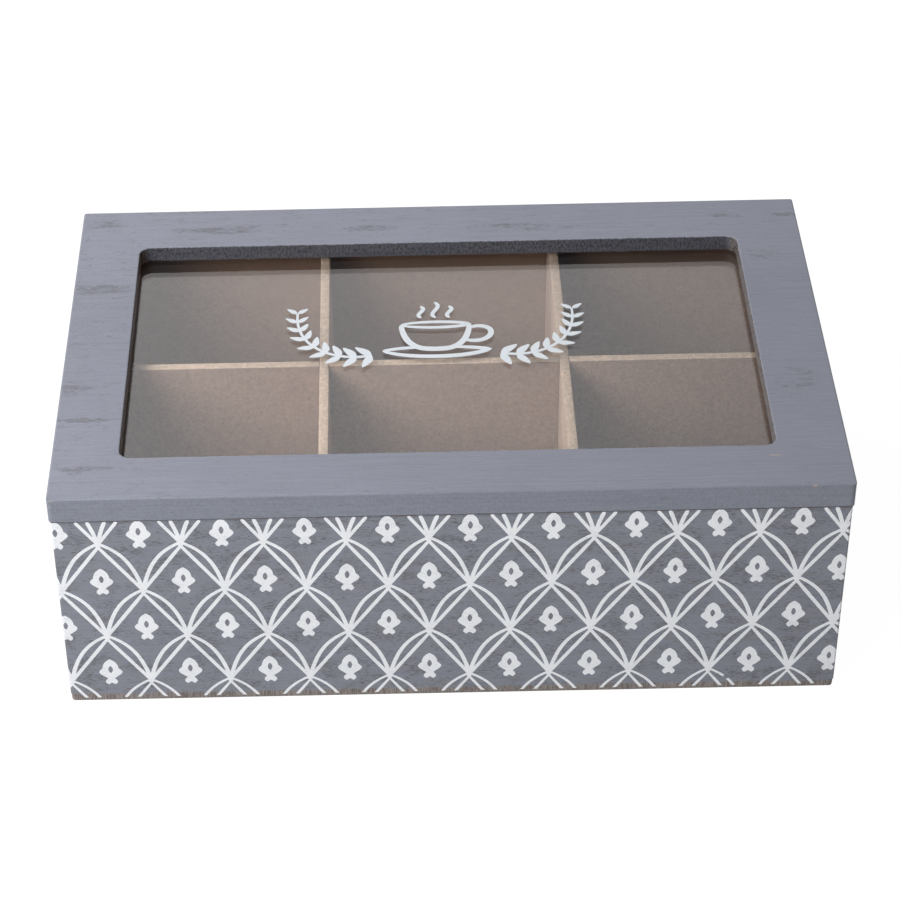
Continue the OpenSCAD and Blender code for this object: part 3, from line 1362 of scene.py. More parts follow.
@dataclass
class FrontTrellis:
    """The block-printed trellis on the front: crossed bars, arches and buds.

    Args:
        ink: The print's finish.
        pitch: Distance between two crossings in one row.
        row: Height from one row of crossings to the next.
        first: Place of the first crossing of the top row, across and up.
        lean: Sideways drift of the print per metre of height.
        columns: Crossings in one row.
        rows: Rows of crossings.
        bar: Width of the straight bars.
        arch: Width of the arches.
        film: Thickness of the ink.
        sunk: How far the middle of the ink lies inside the face.
        bud_drop: How far a bud hangs below its crossing.
        bud_turn: How far a bud turns to either side, in radians.
        bud_sizes: Smallest and largest size of a bud, as shares.
        bud_film: Thickness of a bud's ink, as a share of the film.
        knot_film: The same for the blot at a crossing.
        narrow: Share of its width that a stroke has at its crossing.
        narrow_run: Share of its run over which it widens.
        tip: Lengths along a stroke of the top row between which its tip widens; the
            first lies before its start, so that the tip is blunt.
        top_start: How far above the rim the strokes of the top row start.
        top_margin: Bare strip above the print.
        bottom_margin: Bare strip below the print.
        top_share: Width of the strokes above the first full row, as a share.
        bottom_share: The same below the last row.
        corner_radius: Radius of the board's upright corners.
        corner_end: Share of that radius that stays bare.
        corner_cuts: Where the print is cut to bend round the corners, as shares.
        mirror_extra: How much thicker the film of mirrored strokes is, as a share,
            so that no two faces of crossed strokes lie in one plane.
    """

    ink: bpy.types.Material
    pitch: float = 24.8 * MM
    row: float = 18.6 * MM
    first: Point = (-118.31 * MM, 82.92 * MM)
    lean: float = 0.0035
    columns: int = 11
    rows: int = 5
    bar: float = 1.2 * MM
    arch: float = 1.33 * MM
    film: float = 0.08 * MM
    sunk: float = 0.02 * MM
    bud_drop: float = 15.0 * MM
    bud_turn: float = 0.012
    bud_sizes: Point = (0.96, 1.01)
    bud_film: float = 1.1
    knot_film: float = 1.2
    narrow: float = 0.8
    narrow_run: float = 0.2
    tip: Point = (-0.7 * MM, 1.3 * MM)
    top_start: float = 0.3 * MM
    top_margin: float = 0.05 * MM
    bottom_margin: float = 1.3 * MM
    top_share: float = 0.95
    bottom_share: float = 0.78
    corner_radius: float = 0.6 * MM
    corner_end: float = 0.15
    corner_cuts: Tuple[float, ...] = (0.0, 0.3, 0.55, 0.75)
    mirror_extra: float = 0.04

    def bud(self) -> bpy.types.Object:
        """Draws the bud: a pointed leaf with an eye, on two splayed feet.

        Returns:
            The bud, with its middle at the origin.
        """
        half = (
            (0.0, 5.42), (0.6, 5.08), (1.16, 4.65), (1.66, 4.1), (2.02, 3.5),
            (2.3, 2.85), (2.47, 2.2), (2.58, 1.5), (3.2, 0.93), (3.72, 0.0),
            (3.24, -0.93), (2.4, -1.67), (1.47, -2.42), (1.12, -2.86), (1.68, -3.5),
            (1.97, -4.25), (1.72, -4.83), (1.25, -5.28), (0.9, -5.3), (0.0, -4.65),
        )
        eye = ((0.0, 2.5), (0.5, 1.9), (0.72, 1.1), (0.55, 0.2), (0.0, -0.5))
        rings = (mirrored_ring(half), mirrored_ring(eye))
        return flat_plate("bud", rings, self.film * self.bud_film)

    def knot(self) -> bpy.types.Object:
        """Returns the blot of ink where the strokes cross."""
        half = ((0.0, 1.35), (0.68, 0.9), (0.92, 0.2), (0.65, -0.65), (0.0, -1.25))
        return flat_plate("knot", (mirrored_ring(half),), self.film * self.knot_film)

    def strokes(self, flow: FlowTree) -> Tuple[Stroke, Stroke]:
        """Draws the middle lines of the bar and the arch.

        Args:
            flow: The tree.

        Returns:
            The bar and the arch, which run down to the right from a crossing.
        """
        reach = flow.ends["Pitch"] * 0.5
        drop = flow.ends["Row Height"] * -1.0
        straight = {
            "Start": flow.combine(-0.85 * MM, -0.07 * MM, 0.0),
            "End": flow.combine(reach + 0.3 * MM, drop - 0.55 * MM, 0.0),
        }
        bar = flow.take("GeometryNodeCurvePrimitiveLine", straight)
        bar = flow.take("GeometryNodeResampleCurve", {"Curve": bar, "Count": 9})
        bend = {
            "Resolution": 14,
            "Start": flow.combine(-0.3 * MM, 0.3 * MM, 0.0),
            "Start Handle": flow.combine(reach * 0.5, drop * 0.157, 0.0),
            "End Handle": flow.combine(reach * 0.803, drop * 0.387, 0.0),
            "End": flow.combine(reach, drop - 0.1 * MM, 0.0),
        }
        arch = flow.take("GeometryNodeCurvePrimitiveBezierSegment", bend)
        return (
            Stroke(bar, flow.ends["Bar Width"], thickness=0.8, growth=-0.06, lag=-0.017),
            Stroke(arch, flow.ends["Arch Width"], thickness=0.9, growth=0.03, lag=0.082),
        )

    def swell(self, flow: FlowTree, growth: float, row: Row) -> Field:
        """Gives a stroke its changing width: narrow at the crossing, then growing.

        Args:
            flow: The tree.
            growth: Share that the width gains over its whole run.
            row: The row; the top one starts with a rounded tip.

        Returns:
            The width's scale along the stroke.
        """
        across, _up, _out = flow.separate(flow.take("GeometryNodeInputPosition"))
        run = across * 2.0 / flow.ends["Pitch"]
        start = flow.step(run, 0.0, self.narrow_run).scaled(1.0 - self.narrow, self.narrow)
        swell = start * run.scaled(growth, 1.0 - growth / 2)
        if row is not Row.TOP:
            return swell
        from_start = flow.take("GeometryNodeSplineParameter", output="Length")
        return swell * flow.step(from_start, *self.tip)

    def unit(self, flow: FlowTree, strokes: Sequence[Stroke], row: Row) -> Field:
        """Builds the four strokes that run down from one crossing.

        Args:
            flow: The tree.
            strokes: The kinds of stroke; each is also mirrored.
            row: The row; only the lower half shows in the top one.

        Returns:
            The strokes' mesh.
        """
        share = {Row.TOP: self.top_share, Row.BETWEEN: 1.0, Row.LAST: self.bottom_share}[row]
        meshes: List[Field] = []
        for stroke in strokes:
            line = stroke.line
            width = stroke.width * share
            if row is Row.TOP:
                start = self.first[1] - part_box("front_panel")[1].z - self.top_start
                factor = flow.math("DIVIDE", start, flow.ends["Row Height"]) + stroke.lag
                trim = {"Curve": line, 2: factor}
                line = flow.take("GeometryNodeTrimCurve", trim, mode="FACTOR")
                line = flow.take("GeometryNodeResampleCurve", {"Curve": line, "Count": 20})
            for extra in (0.0, self.mirror_extra):
                film = flow.ends["Film"] * (stroke.thickness + extra)
                swell = self.swell(flow, stroke.growth, row)
                mesh = flow.swept(flow.level(line), width, film, swell)
                if extra:
                    mirror = {0: mesh, "Scale": (-1.0, 1.0, 1.0)}
                    mesh = flow.take("GeometryNodeTransform", mirror)
                    mesh = flow.take("GeometryNodeFlipFaces", {0: mesh})
                meshes.append(mesh)
        return flow.join(meshes)

    def pattern(self, flow: FlowTree) -> Field:
        """Repeats the strokes, the knot and the bud over the rows of crossings.

        Args:
            flow: The tree.

        Returns:
            The whole print, upright in the XY plane about its middle.
        """
        ends = flow.ends
        # Crossings: a grid whose every second row steps half a pitch aside.
        size = {
            "Size X": ends["Pitch"] * (ends["Columns"] - 1.0),
            "Size Y": ends["Row Height"] * (ends["Rows"] - 1.0),
            "Vertices X": ends["Columns"],
            "Vertices Y": ends["Rows"],
        }
        grid = flow.take("GeometryNodeMeshGrid", size, "Mesh")
        row_number = flow.take("GeometryNodeInputIndex") % ends["Rows"]
        from_top = ends["Rows"] - 1.0 - row_number
        half_back = (from_top % 2.0) * (ends["Pitch"] * 0.5 * -1.0)
        _x, up, _z = flow.separate(flow.take("GeometryNodeInputPosition"))
        aside = flow.combine(up.scaled(ends["Lean"], half_back), 0.0, 0.0)
        points = flow.take("GeometryNodeMeshToPoints", {0: flow.moved(grid, aside)})
        top = from_top < 0.5
        below = 1.0 - top
        last = row_number < 0.5
        strokes = self.strokes(flow)
        parts = [
            flow.scatter(points, self.unit(flow, strokes, row), Selection=chosen)
            for row, chosen in ((Row.TOP, top), (Row.BETWEEN, below - last), (Row.LAST, last))
        ]
        parts.append(flow.scatter(points, flow.shape("Knot"), Selection=below))
        # Buds: each a little turned and sized by chance.
        lowered = flow.moved(points, flow.combine(0.0, ends["Bud Drop"] * -1.0, 0.0))
        turns = {0: (0.0, 0.0, -self.bud_turn), 1: (0.0, 0.0, self.bud_turn), "Seed": ends["Seed"]}
        turn = flow.take("FunctionNodeRandomValue", turns, data_type="FLOAT_VECTOR")
        sizes = {2: self.bud_sizes[0], 3: self.bud_sizes[1], "Seed": ends["Seed"]}
        scale = flow.take("FunctionNodeRandomValue", sizes, 1, data_type="FLOAT")
        scaled = flow.combine(scale, scale, 1.0)
        parts.append(flow.scatter(lowered, flow.shape("Bud"), Rotation=turn, Scale=scaled))
        return flow.join(parts)

    def trim(self, mesh: bpy.types.Mesh) -> None:
        """Cuts the print at the board's edges and wraps it round the corners.

        Args:
            mesh: The print, upright, in its place on the front face.
        """
        _low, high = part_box("front_panel")
        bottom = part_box("base_panel")[0].z + self.bottom_margin
        radius = self.corner_radius
        side = high.x - radius * self.corner_end
        sheet = bmesh.new()
        sheet.from_mesh(mesh)
        cuts = (
            ((side, 0, 0), (1, 0, 0)),
            ((-side, 0, 0), (-1, 0, 0)),
            ((0, 0, high.z - self.top_margin), (0, 0, 1)),
            ((0, 0, bottom), (0, 0, -1)),
        )
        for place, outward in cuts:
            edges = cut(sheet, place, outward, clear=True)
            bmesh.ops.holes_fill(sheet, edges=edges, sides=0)
        for share in self.corner_cuts:
            for sign in (-1, 1):
                place = (sign * (high.x - radius + radius * share), 0, 0)
                cut(sheet, place, (1, 0, 0), clear=False)
        for vert in sheet.verts:
            past = (abs(vert.co.x) - (high.x - radius)) / radius
            if past > 0:
                vert.co.y += radius * (1 - math.sqrt(max(0.0, 1 - past * past)))
        bmesh.ops.recalc_face_normals(sheet, faces=sheet.faces)
        sheet.to_mesh(mesh)
        sheet.free()

    def build(self) -> bpy.types.Object:
        """Builds the print on the front face.

        Returns:
            The print.
        """
        bud, knot = self.bud(), self.knot()
        inputs = {
            "Pitch": self.pitch,
            "Row Height": self.row,
            "Columns": self.columns,
            "Rows": self.rows,
            "Bar Width": self.bar,
            "Arch Width": self.arch,
            "Film": self.film,
            "Lean": self.lean,
            "Bud": bud,
            "Knot": knot,
            "Bud Drop": self.bud_drop,
            "Seed": 7,
            "Finish": self.ink,
        }
        flow = FlowTree("trellis_print", inputs)
        bench = put("trellis_bench", bpy.data.meshes.new("trellis_bench"))
        mesh = flow.run(bench, self.pattern(flow))
        for shape in (bud, knot):
            bpy.data.objects.remove(shape)
        half_width = self.pitch * (self.columns - 1) / 2
        half_height = self.row * (self.rows - 1) / 2
        across = self.first[0] + half_width - self.lean * half_height
        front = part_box("front_panel")[0].y + self.sunk
        centre = Vector((across, front, self.first[1] - half_height))
        mesh.transform(Matrix.Translation(centre) @ Matrix.Rotation(math.pi / 2, 4, "X"))
        self.trim(mesh)
        mesh.shade_flat()
        piece = new_object("front_trellis_print", mesh, self.ink)
        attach(piece, "box")
        return piece


# ------------------------------------------------------------------- window motif


@dataclass
class WindowMotif:
    """A steaming cup on a saucer between two leafy sprigs, printed on the glass.

    Args:
        ink: The print's finish.
        centre: The motif's centre on the glass.
        film: Thickness of the print.
        stem_width: Width of a sprig's stem at its foot.
        spread: Angle between a leaf and its stem, in radians.
        spread_chance: How far that angle strays, in radians.
        taper: Share that stem and leaves lose towards the tip.
        leaf_pairs: Pairs of leaves on a sprig.
        leaf_film: Thickness of a leaf, as a share of the film.
        lift: Height of the film's middle above the glass, as a share of the film.
    """

    ink: bpy.types.Material
    centre: Point = (-2.5 * MM, 11.4 * MM)
    film: float = 0.06 * MM
    stem_width: float = 1.3 * MM
    spread: float = math.radians(48)
    spread_chance: float = 0.08
    taper: float = 0.42
    leaf_pairs: int = 9
    leaf_film: float = 1.1
    lift: float = 0.3

    def lines(self) -> List[Tuple[float, List[Segment]]]:
        """Lists the cup's lines.

        Returns:
            Stroke width and Bezier segments of each line, in mm from the centre.
        """
        bowl = [
            ((-11.0, 3.6), (-10.6, -3.0), (-8.6, -7.4), (-4.6, -9.0)),
            ((-4.6, -9.0), (-2.0, -9.7), (2.0, -9.7), (4.6, -9.0)),
            ((4.6, -9.0), (8.6, -7.4), (10.6, -3.0), (11.0, 3.6)),
        ]
        rim = [
            ((-11.0, 3.6), (-8.0, 1.6), (8.0, 1.6), (11.0, 3.6)),
            ((11.0, 3.6), (8.0, 5.6), (-8.0, 5.6), (-11.0, 3.6)),
        ]
        handle = [
            ((10.7, 1.6), (14.0, 3.4), (18.2, 2.4), (17.8, -1.4)),
            ((17.8, -1.4), (17.4, -4.8), (13.0, -6.6), (9.0, -4.6)),
        ]
        saucer = [
            ((-17.0, -10.2), (-10.0, -14.6), (10.0, -14.6), (17.0, -10.2)),
            ((17.0, -10.2), (13.0, -8.9), (8.0, -8.6), (5.4, -8.7)),
        ]
        saucer_left = [((-17.0, -10.2), (-13.0, -8.9), (-8.0, -8.6), (-5.4, -8.7))]
        wisps = (
            ((-4.4, 7.4), (-7.4, 9.6), (-1.6, 11.4), (-4.6, 13.8)),
            ((0.2, 7.4), (-3.2, 10.2), (3.6, 12.8), (0.0, 16.0)),
            ((4.8, 7.4), (1.8, 9.6), (7.6, 11.4), (4.6, 13.8)),
        )
        cup = [(2.3, bowl), (1.5, rim), (1.9, handle), (1.9, saucer), (1.5, saucer_left)]
        return cup + [(1.4, [wisp]) for wisp in wisps]

    def curve(self, name: str, segments: Sequence[Segment]) -> bpy.types.Object:
        """Lays one smooth line as a curve object.

        Args:
            name: The object's name.
            segments: Bezier segments, in mm from the motif's centre.

        Returns:
            The curve object.
        """
        points: List[Vector] = []
        for segment in segments:
            corners = [Vector((x * MM, y * MM, 0.0)) for x, y in segment]
            run = interpolate_bezier(*corners, 18)
            points += run if not points else run[1:]
        data = bpy.data.curves.new(name, "CURVE")
        data.dimensions = "3D"
        line = data.splines.new("POLY")
        line.points.add(len(points) - 1)
        for place, point in zip(points, line.points):
            point.co = (*place, 1.0)
        return put(name, data)

    def pen_stroke(self, width: float, segments: Sequence[Segment]) -> bpy.types.Mesh:
        """Gives a line its width, which swells from both ends.

        Args:
            width: The stroke's width in the middle.
            segments: The line.

        Returns:
            The stroke.
        """
        inputs = {"Width": width, "Film": self.film, "Finish": self.ink}
        flow = FlowTree("pen_stroke", inputs)
        along = flow.take("GeometryNodeSplineParameter", output="Factor")
        from_end = along * (1.0 - along) * 4.0
        swell = flow.math("POWER", from_end, 0.35).scaled(0.55, 0.45)
        line = flow.level(flow.ends["Geometry"])
        stroke = flow.swept(line, flow.ends["Width"], flow.ends["Film"], swell)
        return flow.run(self.curve("pen_line", segments), stroke)

    def sprig(self, leaf: bpy.types.Object, stem: Segment) -> bpy.types.Mesh:
        """Sets leaves in pairs along a stem.

        Args:
            leaf: One leaf, lying along X from its stalk.
            stem: The stem's line.

        Returns:
            The sprig.
        """
        inputs = {
            "Leaf": leaf,
            "Nodes": self.leaf_pairs,
            "Spread": self.spread,
            "Taper": self.taper,
            "Stem Width": self.stem_width,
            "Film": self.film,
            "Seed": 3,
            "Finish": self.ink,
        }
        flow = FlowTree("leafy_sprig", inputs)
        ends = flow.ends
        line = flow.level(ends["Geometry"])
        thin = 1.0 - flow.take("GeometryNodeSplineParameter", output="Factor") * ends["Taper"]
        parts = [flow.swept(line, ends["Stem Width"], ends["Film"], thin)]
        nodes = flow.outputs("GeometryNodeCurveToPoints", {"Curve": line, "Count": ends["Nodes"]})
        stray = {2: -self.spread_chance, 3: self.spread_chance, "Seed": ends["Seed"]}
        chance = flow.take("FunctionNodeRandomValue", stray, 1, data_type="FLOAT")
        for side in (-1.0, 1.0):
            turn = flow.combine(0.0, 0.0, (ends["Spread"] + chance) * side)
            along = {"Vector": nodes["Tangent"]}
            upright = flow.take("FunctionNodeAlignRotationToVector", along, axis="X")
            turned = {"Rotation": upright, "Rotate By": turn}
            rotation = flow.take("FunctionNodeRotateRotation", turned, rotation_space="GLOBAL")
            share = flow.take("GeometryNodeInputIndex") / ends["Nodes"]
            size = 1.0 - share * ends["Taper"]
            scale = flow.combine(size, size, 1.0)
            leaf_mesh = flow.shape("Leaf")
            parts.append(flow.scatter(nodes["Points"], leaf_mesh, Rotation=rotation, Scale=scale))
        return flow.run(self.curve("stem", [stem]), flow.join(parts))

    def leaf(self) -> bpy.types.Object:
        """Draws one pointed leaf.

        Returns:
            The leaf, with its stalk at the origin.
        """
        rim = ((0.3, 0.25), (2.2, 1.35), (4.6, 1.1), (7.0, 0.0))
        ring = smooth_ring([*rim, *((x, -y) for x, y in reversed(rim[:-1]))], 3)
        return flat_plate("leaf", (ring,), self.film * self.leaf_film)

    def build(self) -> bpy.types.Object:
        """Builds the motif on the glass.

        Returns:
            The motif.
        """
        meshes = [self.pen_stroke(width * MM, segments) for width, segments in self.lines()]
        leaf = self.leaf()
        stem = ((20.5, -12.4), (32.0, -15.5), (45.5, -8.0), (44.5, 11.0))
        for side in (-1, 1):
            meshes.append(self.sprig(leaf, tuple((side * x, y) for x, y in stem)))
        bpy.data.objects.remove(leaf)
        whole = bmesh.new()
        for mesh in meshes:
            whole.from_mesh(mesh)
            bpy.data.meshes.remove(mesh)
        joined = bpy.data.meshes.new("window_motif")
        whole.to_mesh(joined)
        whole.free()
        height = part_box("glass_pane")[1].z + self.film * self.lift
        joined.transform(Matrix.Translation((*self.centre, height)))
        joined.shade_flat()
        piece = new_object("window_motif_print", joined, self.ink)
        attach(piece, "lid")
        return piece


# --------------------------------------------------------------- the box's boards


@dataclass
class BoxBody:
    """The standing part: four walls, the dividers, the base and its brads.

    Args:
        paint: Colour of the walls.
        pores: The pores that show through their paint.
        eased: Width of the dividers' eased edges.
        foot: How far below the walls the lower edge of their rubbing lies.
        gap: Centre and reach of the missed place in the print, from the face.
    """

    paint: Colour = srgb(133, 137, 148)
    pores: Pores = Pores(srgb(82, 79, 83), level=0.57)
    eased: float = 0.25 * MM
    foot: float = 0.6 * MM
    gap: Spot = ((85.7 * MM, 0.0, 5.0 * MM), (1.2 * MM, 1 * MM, 1.1 * MM))

    def wall_finish(self) -> PaintedWall:
        """Chooses the finish of the walls.

        Returns:
            Paint over the whole box's outside, bare board between the walls.
        """
        low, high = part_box("front_panel")
        paint = Paint(
            name="wall_paint",
            colour=self.paint,
            edge_colour=self.paint,
            pores=self.pores,
            low=Vector((low.x, low.y, low.z - self.foot)),
            high=Vector((high.x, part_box("back_panel")[1].y, high.z)),
            warm=0.2,
            wear=0.52,
            wear_width=1.5 * MM,
            bare_colour=srgb(112, 98, 90),
        )
        inner = (abs(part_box("left_panel")[1].x), abs(high.y))
        return PaintedWall(paint, RawBoard("wall_board", BROWN_FACE), inner)

    def build(self) -> None:
        """Dresses the boards, eases the dividers' edges and prints the front."""
        wall = self.wall_finish().build()
        for name in ("front_panel", "back_panel", "left_panel", "right_panel"):
            dress_node(name, wall)
        dress_node("base_panel", Hardboard().build())
        pale = RawBoard().build()
        brown = RawBoard("brown_faced_board", BROWN_FACE).build()
        for name in ("long_divider", "cross_divider_left", "cross_divider_right"):
            board = brown if name == "long_divider" else pale
            piece = eased_copy(name, name + "_eased", self.eased, board)
            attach(piece, "box")
            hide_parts(name)
            dress_node(name, board)
            LOG.info("piece %s", piece.name)
        steel = SheetMetal("bright_steel", srgb(178, 178, 180), srgb(120, 112, 104), 0.3).build()
        dress_node("base_brads", steel)
        centre, reach = (Vector(item) for item in self.gap)
        centre.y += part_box("front_panel")[0].y
        ink = PrintInk(
            "print_white",
            srgb(249, 251, 255),
            self.paint,
            self.pores,
            # Painted light: lighter ink towards the right end.
            painted_right_light=0.09,
            gaps=((centre, reach),),
        ).build()
        LOG.info("piece %s", FrontTrellis(ink).build().name)


@dataclass
class Lid:
    """The lid: its frame, the glass, the points that hold it, and the motif.

    Args:
        paint: Colour of the lid's top.
        edge_paint: Colour of its edges.
        window_edge: Colour of the window's cut faces.
        window_left_painted_shade: Colour of the left one, darker and browner as painted shade.
        window_right: Colour of the right one.
        window_radius: Radius of the window's corners.
        pores: The pores that show through the paint.
        lip: Width of the lip that the glass lies under.
    """

    paint: Colour = srgb(135, 138, 151)
    edge_paint: Colour = srgb(133, 137, 149)
    window_edge: Colour = srgb(72, 72, 79)
    window_left_painted_shade: Colour = srgb(66, 56, 50)
    window_right: Colour = srgb(98, 92, 91)
    window_radius: float = 3.6 * MM
    pores: Pores = Pores(
        srgb(98, 95, 98),
        level=0.678,
        length=2.2 * MM,
        width=0.24 * MM,
        rows=0.25,
        drift=(0.3, -0.3),
        crowds=(
            (-111, 68.5, 12, 2.5, 0.12),
            (-71, 64.3, 24, 3.2, 0.15),
            (-23, 63.7, 15, 2.8, 0.15),
            (28, 62.4, 30, 3.2, 0.13),
            (98, 67.3, 11, 2.6, 0.14),
            (116, 67, 6, 2.2, 0.19),
            (107, 43.5, 10, 5, 0.14),
            (-112, 31, 15, 4, 0.16),
            (-115, -22, 8, 5, 0.16),
            (-111, -38.2, 13, 1.8, 0.2),
            (108, -25, 10, 11, 0.14),
            (-109.5, -62, 14, 1.8, 0.2),
        ),
    )
    lip: float = 4.5 * MM

    def build(self) -> None:
        """Dresses the lid and prints the motif on its glass."""
        low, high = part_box("lid_frame")
        pane_low, pane_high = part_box("glass_pane")
        front_edge = (low.y + 0.2 * MM, high.z - 0.5 * MM)
        paint = Paint(
            name="lid_paint",
            colour=self.paint,
            edge_colour=self.edge_paint,
            pores=self.pores,
            low=low,
            high=high,
            grit=0.12,
            # Painted light: paler towards the back rail.
            painted_back_light=0.13,
            wear=0.3,
            spots=(
                ((107.5 * MM, *front_edge), (0.8 * MM, 0.6 * MM, 0.5 * MM)),
                ((-118.4 * MM, *front_edge), (1.2 * MM, 0.4 * MM, 0.2 * MM)),
                ((97.5 * MM, -62 * MM, high.z), (2.2 * MM, 0.3 * MM, 0.5 * MM)),
            ),
            opening=Opening(
                (pane_low.x + self.lip, pane_low.y + self.lip),
                (pane_high.x - self.lip, pane_high.y - self.lip),
                self.window_radius,
                self.window_edge,
                self.window_left_painted_shade,
                self.window_right,
            ),
        )
        dress_node("lid_frame", paint.build())
        dress_node("glass_pane", WindowGlass().build())
        steel = SheetMetal("plated_steel", srgb(170, 172, 176), srgb(116, 112, 108), 0.32).build()
        dress_node("glazing_points", steel)
        smears = Pores(srgb(200, 205, 212), level=0.8)
        ink = PrintInk("window_white", srgb(232, 238, 244), smears.colour, smears).build()
        LOG.info("piece %s", WindowMotif(ink).build().name)


@dataclass
class ButtHinges:
    """The two brass butt hinges with their pins and screws.

    Args:
        brass: The finish of leaves and screws.
        steel: The finish of the pins.
    """

    brass: SheetMetal = SheetMetal("aged_brass", srgb(206, 172, 104), srgb(136, 106, 62), 0.3)
    steel: SheetMetal = SheetMetal("pin_steel", srgb(176, 174, 170), srgb(112, 104, 96), 0.28)

    def build(self) -> None:
        """Dresses the hinges."""
        brass = self.brass.build()
        steel = self.steel.build()
        for side in ("left", "right"):
            for part in ("body_leaf", "lid_leaf"):
                dress_node(f"hinge_{side}_{part}", brass)
            dress_node(f"hinge_{side}_pin", steel)
        for name in ("hinge_body_screws", "hinge_lid_screws"):
            dress_node(name, brass)


# -------------------------------------------------------------------------- studio

LAMP_AIM = Vector((0.0, 0.0, 0.07))


@dataclass(frozen=True)
class Lamp:
    """A soft rectangular lamp that faces the box.

    Args:
        name: Its name.
        place: Where it hangs.
        size: Its width and height.
        power: Its power in watts.
    """

    name: str
    place: Place
    size: Point
    power: float

    def hang(self) -> bpy.types.Light:
        """Hangs the lamp.

        Returns:
            Its data.
        """
        data = bpy.data.lights.new(self.name, "AREA")
        data.shape = "RECTANGLE"
        data.size, data.size_y = self.size
        data.energy = self.power
        lamp = put(self.name, data)
        lamp.location = self.place
        gaze = LAMP_AIM - Vector(self.place)
        lamp.rotation_euler = gaze.to_track_quat("-Z", "Y").to_euler()
        return data


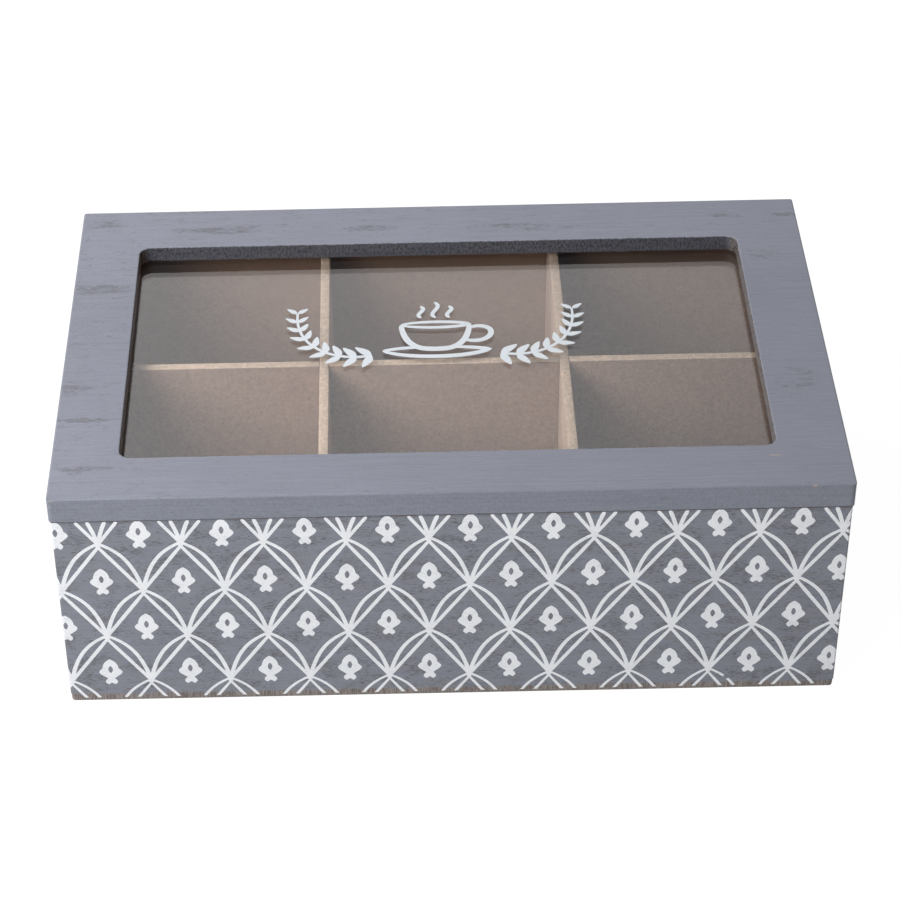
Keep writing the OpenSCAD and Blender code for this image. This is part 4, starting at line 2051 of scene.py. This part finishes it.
@dataclass
class Studio:
    """Camera, lamps, world and floor.

    Args:
        azimuth: The camera's turn round the box, in degrees.
        elevation: Its height angle, in degrees.
        roll: Its roll, in degrees.
        distance: Its distance from the target.
        target: The point it looks at.
        focal: Focal length in pixels of a square frame.
        centre: Where the lens axis meets the frame, from its top left.
        frame_width: Pixels across the frame.
        sensor: Width of the sensor in mm.
        key: The main lamp.
        top: The overhead lamp.
        card: The broad card of light behind the box.
        card_colour: Its colour.
        card_ends: Its strength at one end and at the other.
        fill: Strength of the room's light on the box.
        floor_size: Length of the floor's sides.
        floor_colour: Its colour where the lamps light it.
        floor_glow: Strength of its own light.
        floor_glow_share: Share of that light in what is seen of it.
    """

    azimuth: float = 0.374
    elevation: float = 38.246
    roll: float = -1.399
    distance: float = 0.892
    target: Place = (-21.572 * MM, 0.0, 43.867 * MM)
    focal: float = 2737.999
    centre: Point = (378.428, 434.240)
    frame_width: float = 900.0
    sensor: float = 36.0
    key: Lamp = Lamp("key_softbox", (-0.40, -0.42, 0.54), (0.46, 0.46), 5.05)
    top: Lamp = Lamp("overhead_softbox", (-0.48, 0.42, 0.68), (0.4, 0.4), 2.4)
    card: Lamp = Lamp("back_card", (0.03, 1.17, 0.95), (0.8, 0.75), 0.24 * math.pi)
    card_colour: Colour = (1.0, 0.955, 0.978, 1.0)
    card_ends: Point = (0.15, 1.85)
    fill: float = 0.12
    floor_size: float = 6.0
    floor_colour: Colour = (0.62, 0.62, 0.62, 1.0)
    floor_glow: float = 1.22
    floor_glow_share: float = 0.8

    def add_camera(self) -> None:
        """Sets up the camera."""
        turn, rise, roll = map(math.radians, (self.azimuth, self.elevation, self.roll))
        level = math.cos(rise)
        back = Vector((math.sin(turn) * level, -math.cos(turn) * level, math.sin(rise)))
        right = Vector((0, 0, 1)).cross(back).normalized()
        up = back.cross(right)
        rolled_right = math.cos(roll) * right + math.sin(roll) * up
        rolled_up = math.cos(roll) * up - math.sin(roll) * right
        axes = Matrix((rolled_right, rolled_up, back)).transposed()
        data = bpy.data.cameras.new("camera")
        data.sensor_width = self.sensor
        data.lens = self.focal / self.frame_width * self.sensor
        data.shift_x = 0.5 - self.centre[0] / self.frame_width
        data.shift_y = self.centre[1] / self.frame_width - 0.5
        data.clip_start = 0.01
        camera = put("camera", data)
        place = Vector(self.target) + self.distance * back
        camera.matrix_world = Matrix.Translation(place) @ axes.to_4x4()
        bpy.context.scene.camera = camera

    def add_lamps(self) -> None:
        """Hangs the lamps; the card is brighter towards one end."""
        self.key.hang()
        self.top.hang()
        card = self.card.hang()
        card.use_nodes = True
        sheet = NodeSheet(card.node_tree)
        across = sheet.separate(sheet.take("ShaderNodeTexCoord", output="UV"))[0]
        level = sheet.blend(across, *self.card_ends)
        glow = sheet.take("ShaderNodeEmission", {"Color": self.card_colour, "Strength": level})
        sheet.add("ShaderNodeOutputLight", {0: glow})

    def add_world(self) -> None:
        """Fills the room with even light that lenses and mirrors see as white."""
        world = bpy.data.worlds.new("room")
        bpy.context.scene.world = world
        world.use_nodes = True
        sheet = NodeSheet(world.node_tree)
        strength = sheet.blend(self.seen(sheet), self.fill, 1.0)
        white = {"Color": (1.0, 1.0, 1.0, 1.0), "Strength": strength}
        sheet.add("ShaderNodeOutputWorld", {0: sheet.take("ShaderNodeBackground", white)})

    def seen(self, sheet: NodeSheet) -> Field:
        """Finds the rays that see the world and the floor as white.

        Args:
            sheet: The tree's sheet.

        Returns:
            1 for rays from the camera, from gloss and through glass.
        """
        rays = sheet.outputs("ShaderNodeLightPath")
        bright = sheet.math("MAXIMUM", rays["Is Glossy Ray"], rays["Is Transmission Ray"])
        return sheet.math("MAXIMUM", rays["Is Camera Ray"], bright)

    def add_floor(self) -> None:
        """Lays the pale floor, which reads as white and keeps the box's shadow."""
        half = self.floor_size / 2
        mesh = bpy.data.meshes.new("studio_floor")
        corners = [(-half, -half, 0.0), (half, -half, 0.0), (half, half, 0.0), (-half, half, 0.0)]
        mesh.from_pydata(corners, [], [(0, 1, 2, 3)])
        sheet = MaterialSheet("studio_floor")
        matt = sheet.take("ShaderNodeBsdfDiffuse", {"Color": self.floor_colour})
        glow = sheet.take("ShaderNodeEmission", {"Strength": self.floor_glow})
        share = self.seen(sheet) * self.floor_glow_share
        mixed = sheet.take("ShaderNodeMixShader", {0: share, 1: matt, 2: glow})
        new_object("studio_floor", mesh, sheet.surface(mixed))

    def build(self) -> None:
        """Sets up the whole studio."""
        bpy.context.scene.view_settings.view_transform = "Standard"
        self.add_camera()
        self.add_lamps()
        self.add_world()
        self.add_floor()


def main() -> None:
    """Builds every part of the scene in order."""
    logging.basicConfig(level=logging.INFO, format="%(message)s")
    for assembly in (Studio(), BoxBody(), Lid(), ButtHinges()):
        assembly.build()
        LOG.info("done %s", type(assembly).__name__)


if __name__ == "__main__":
    main()
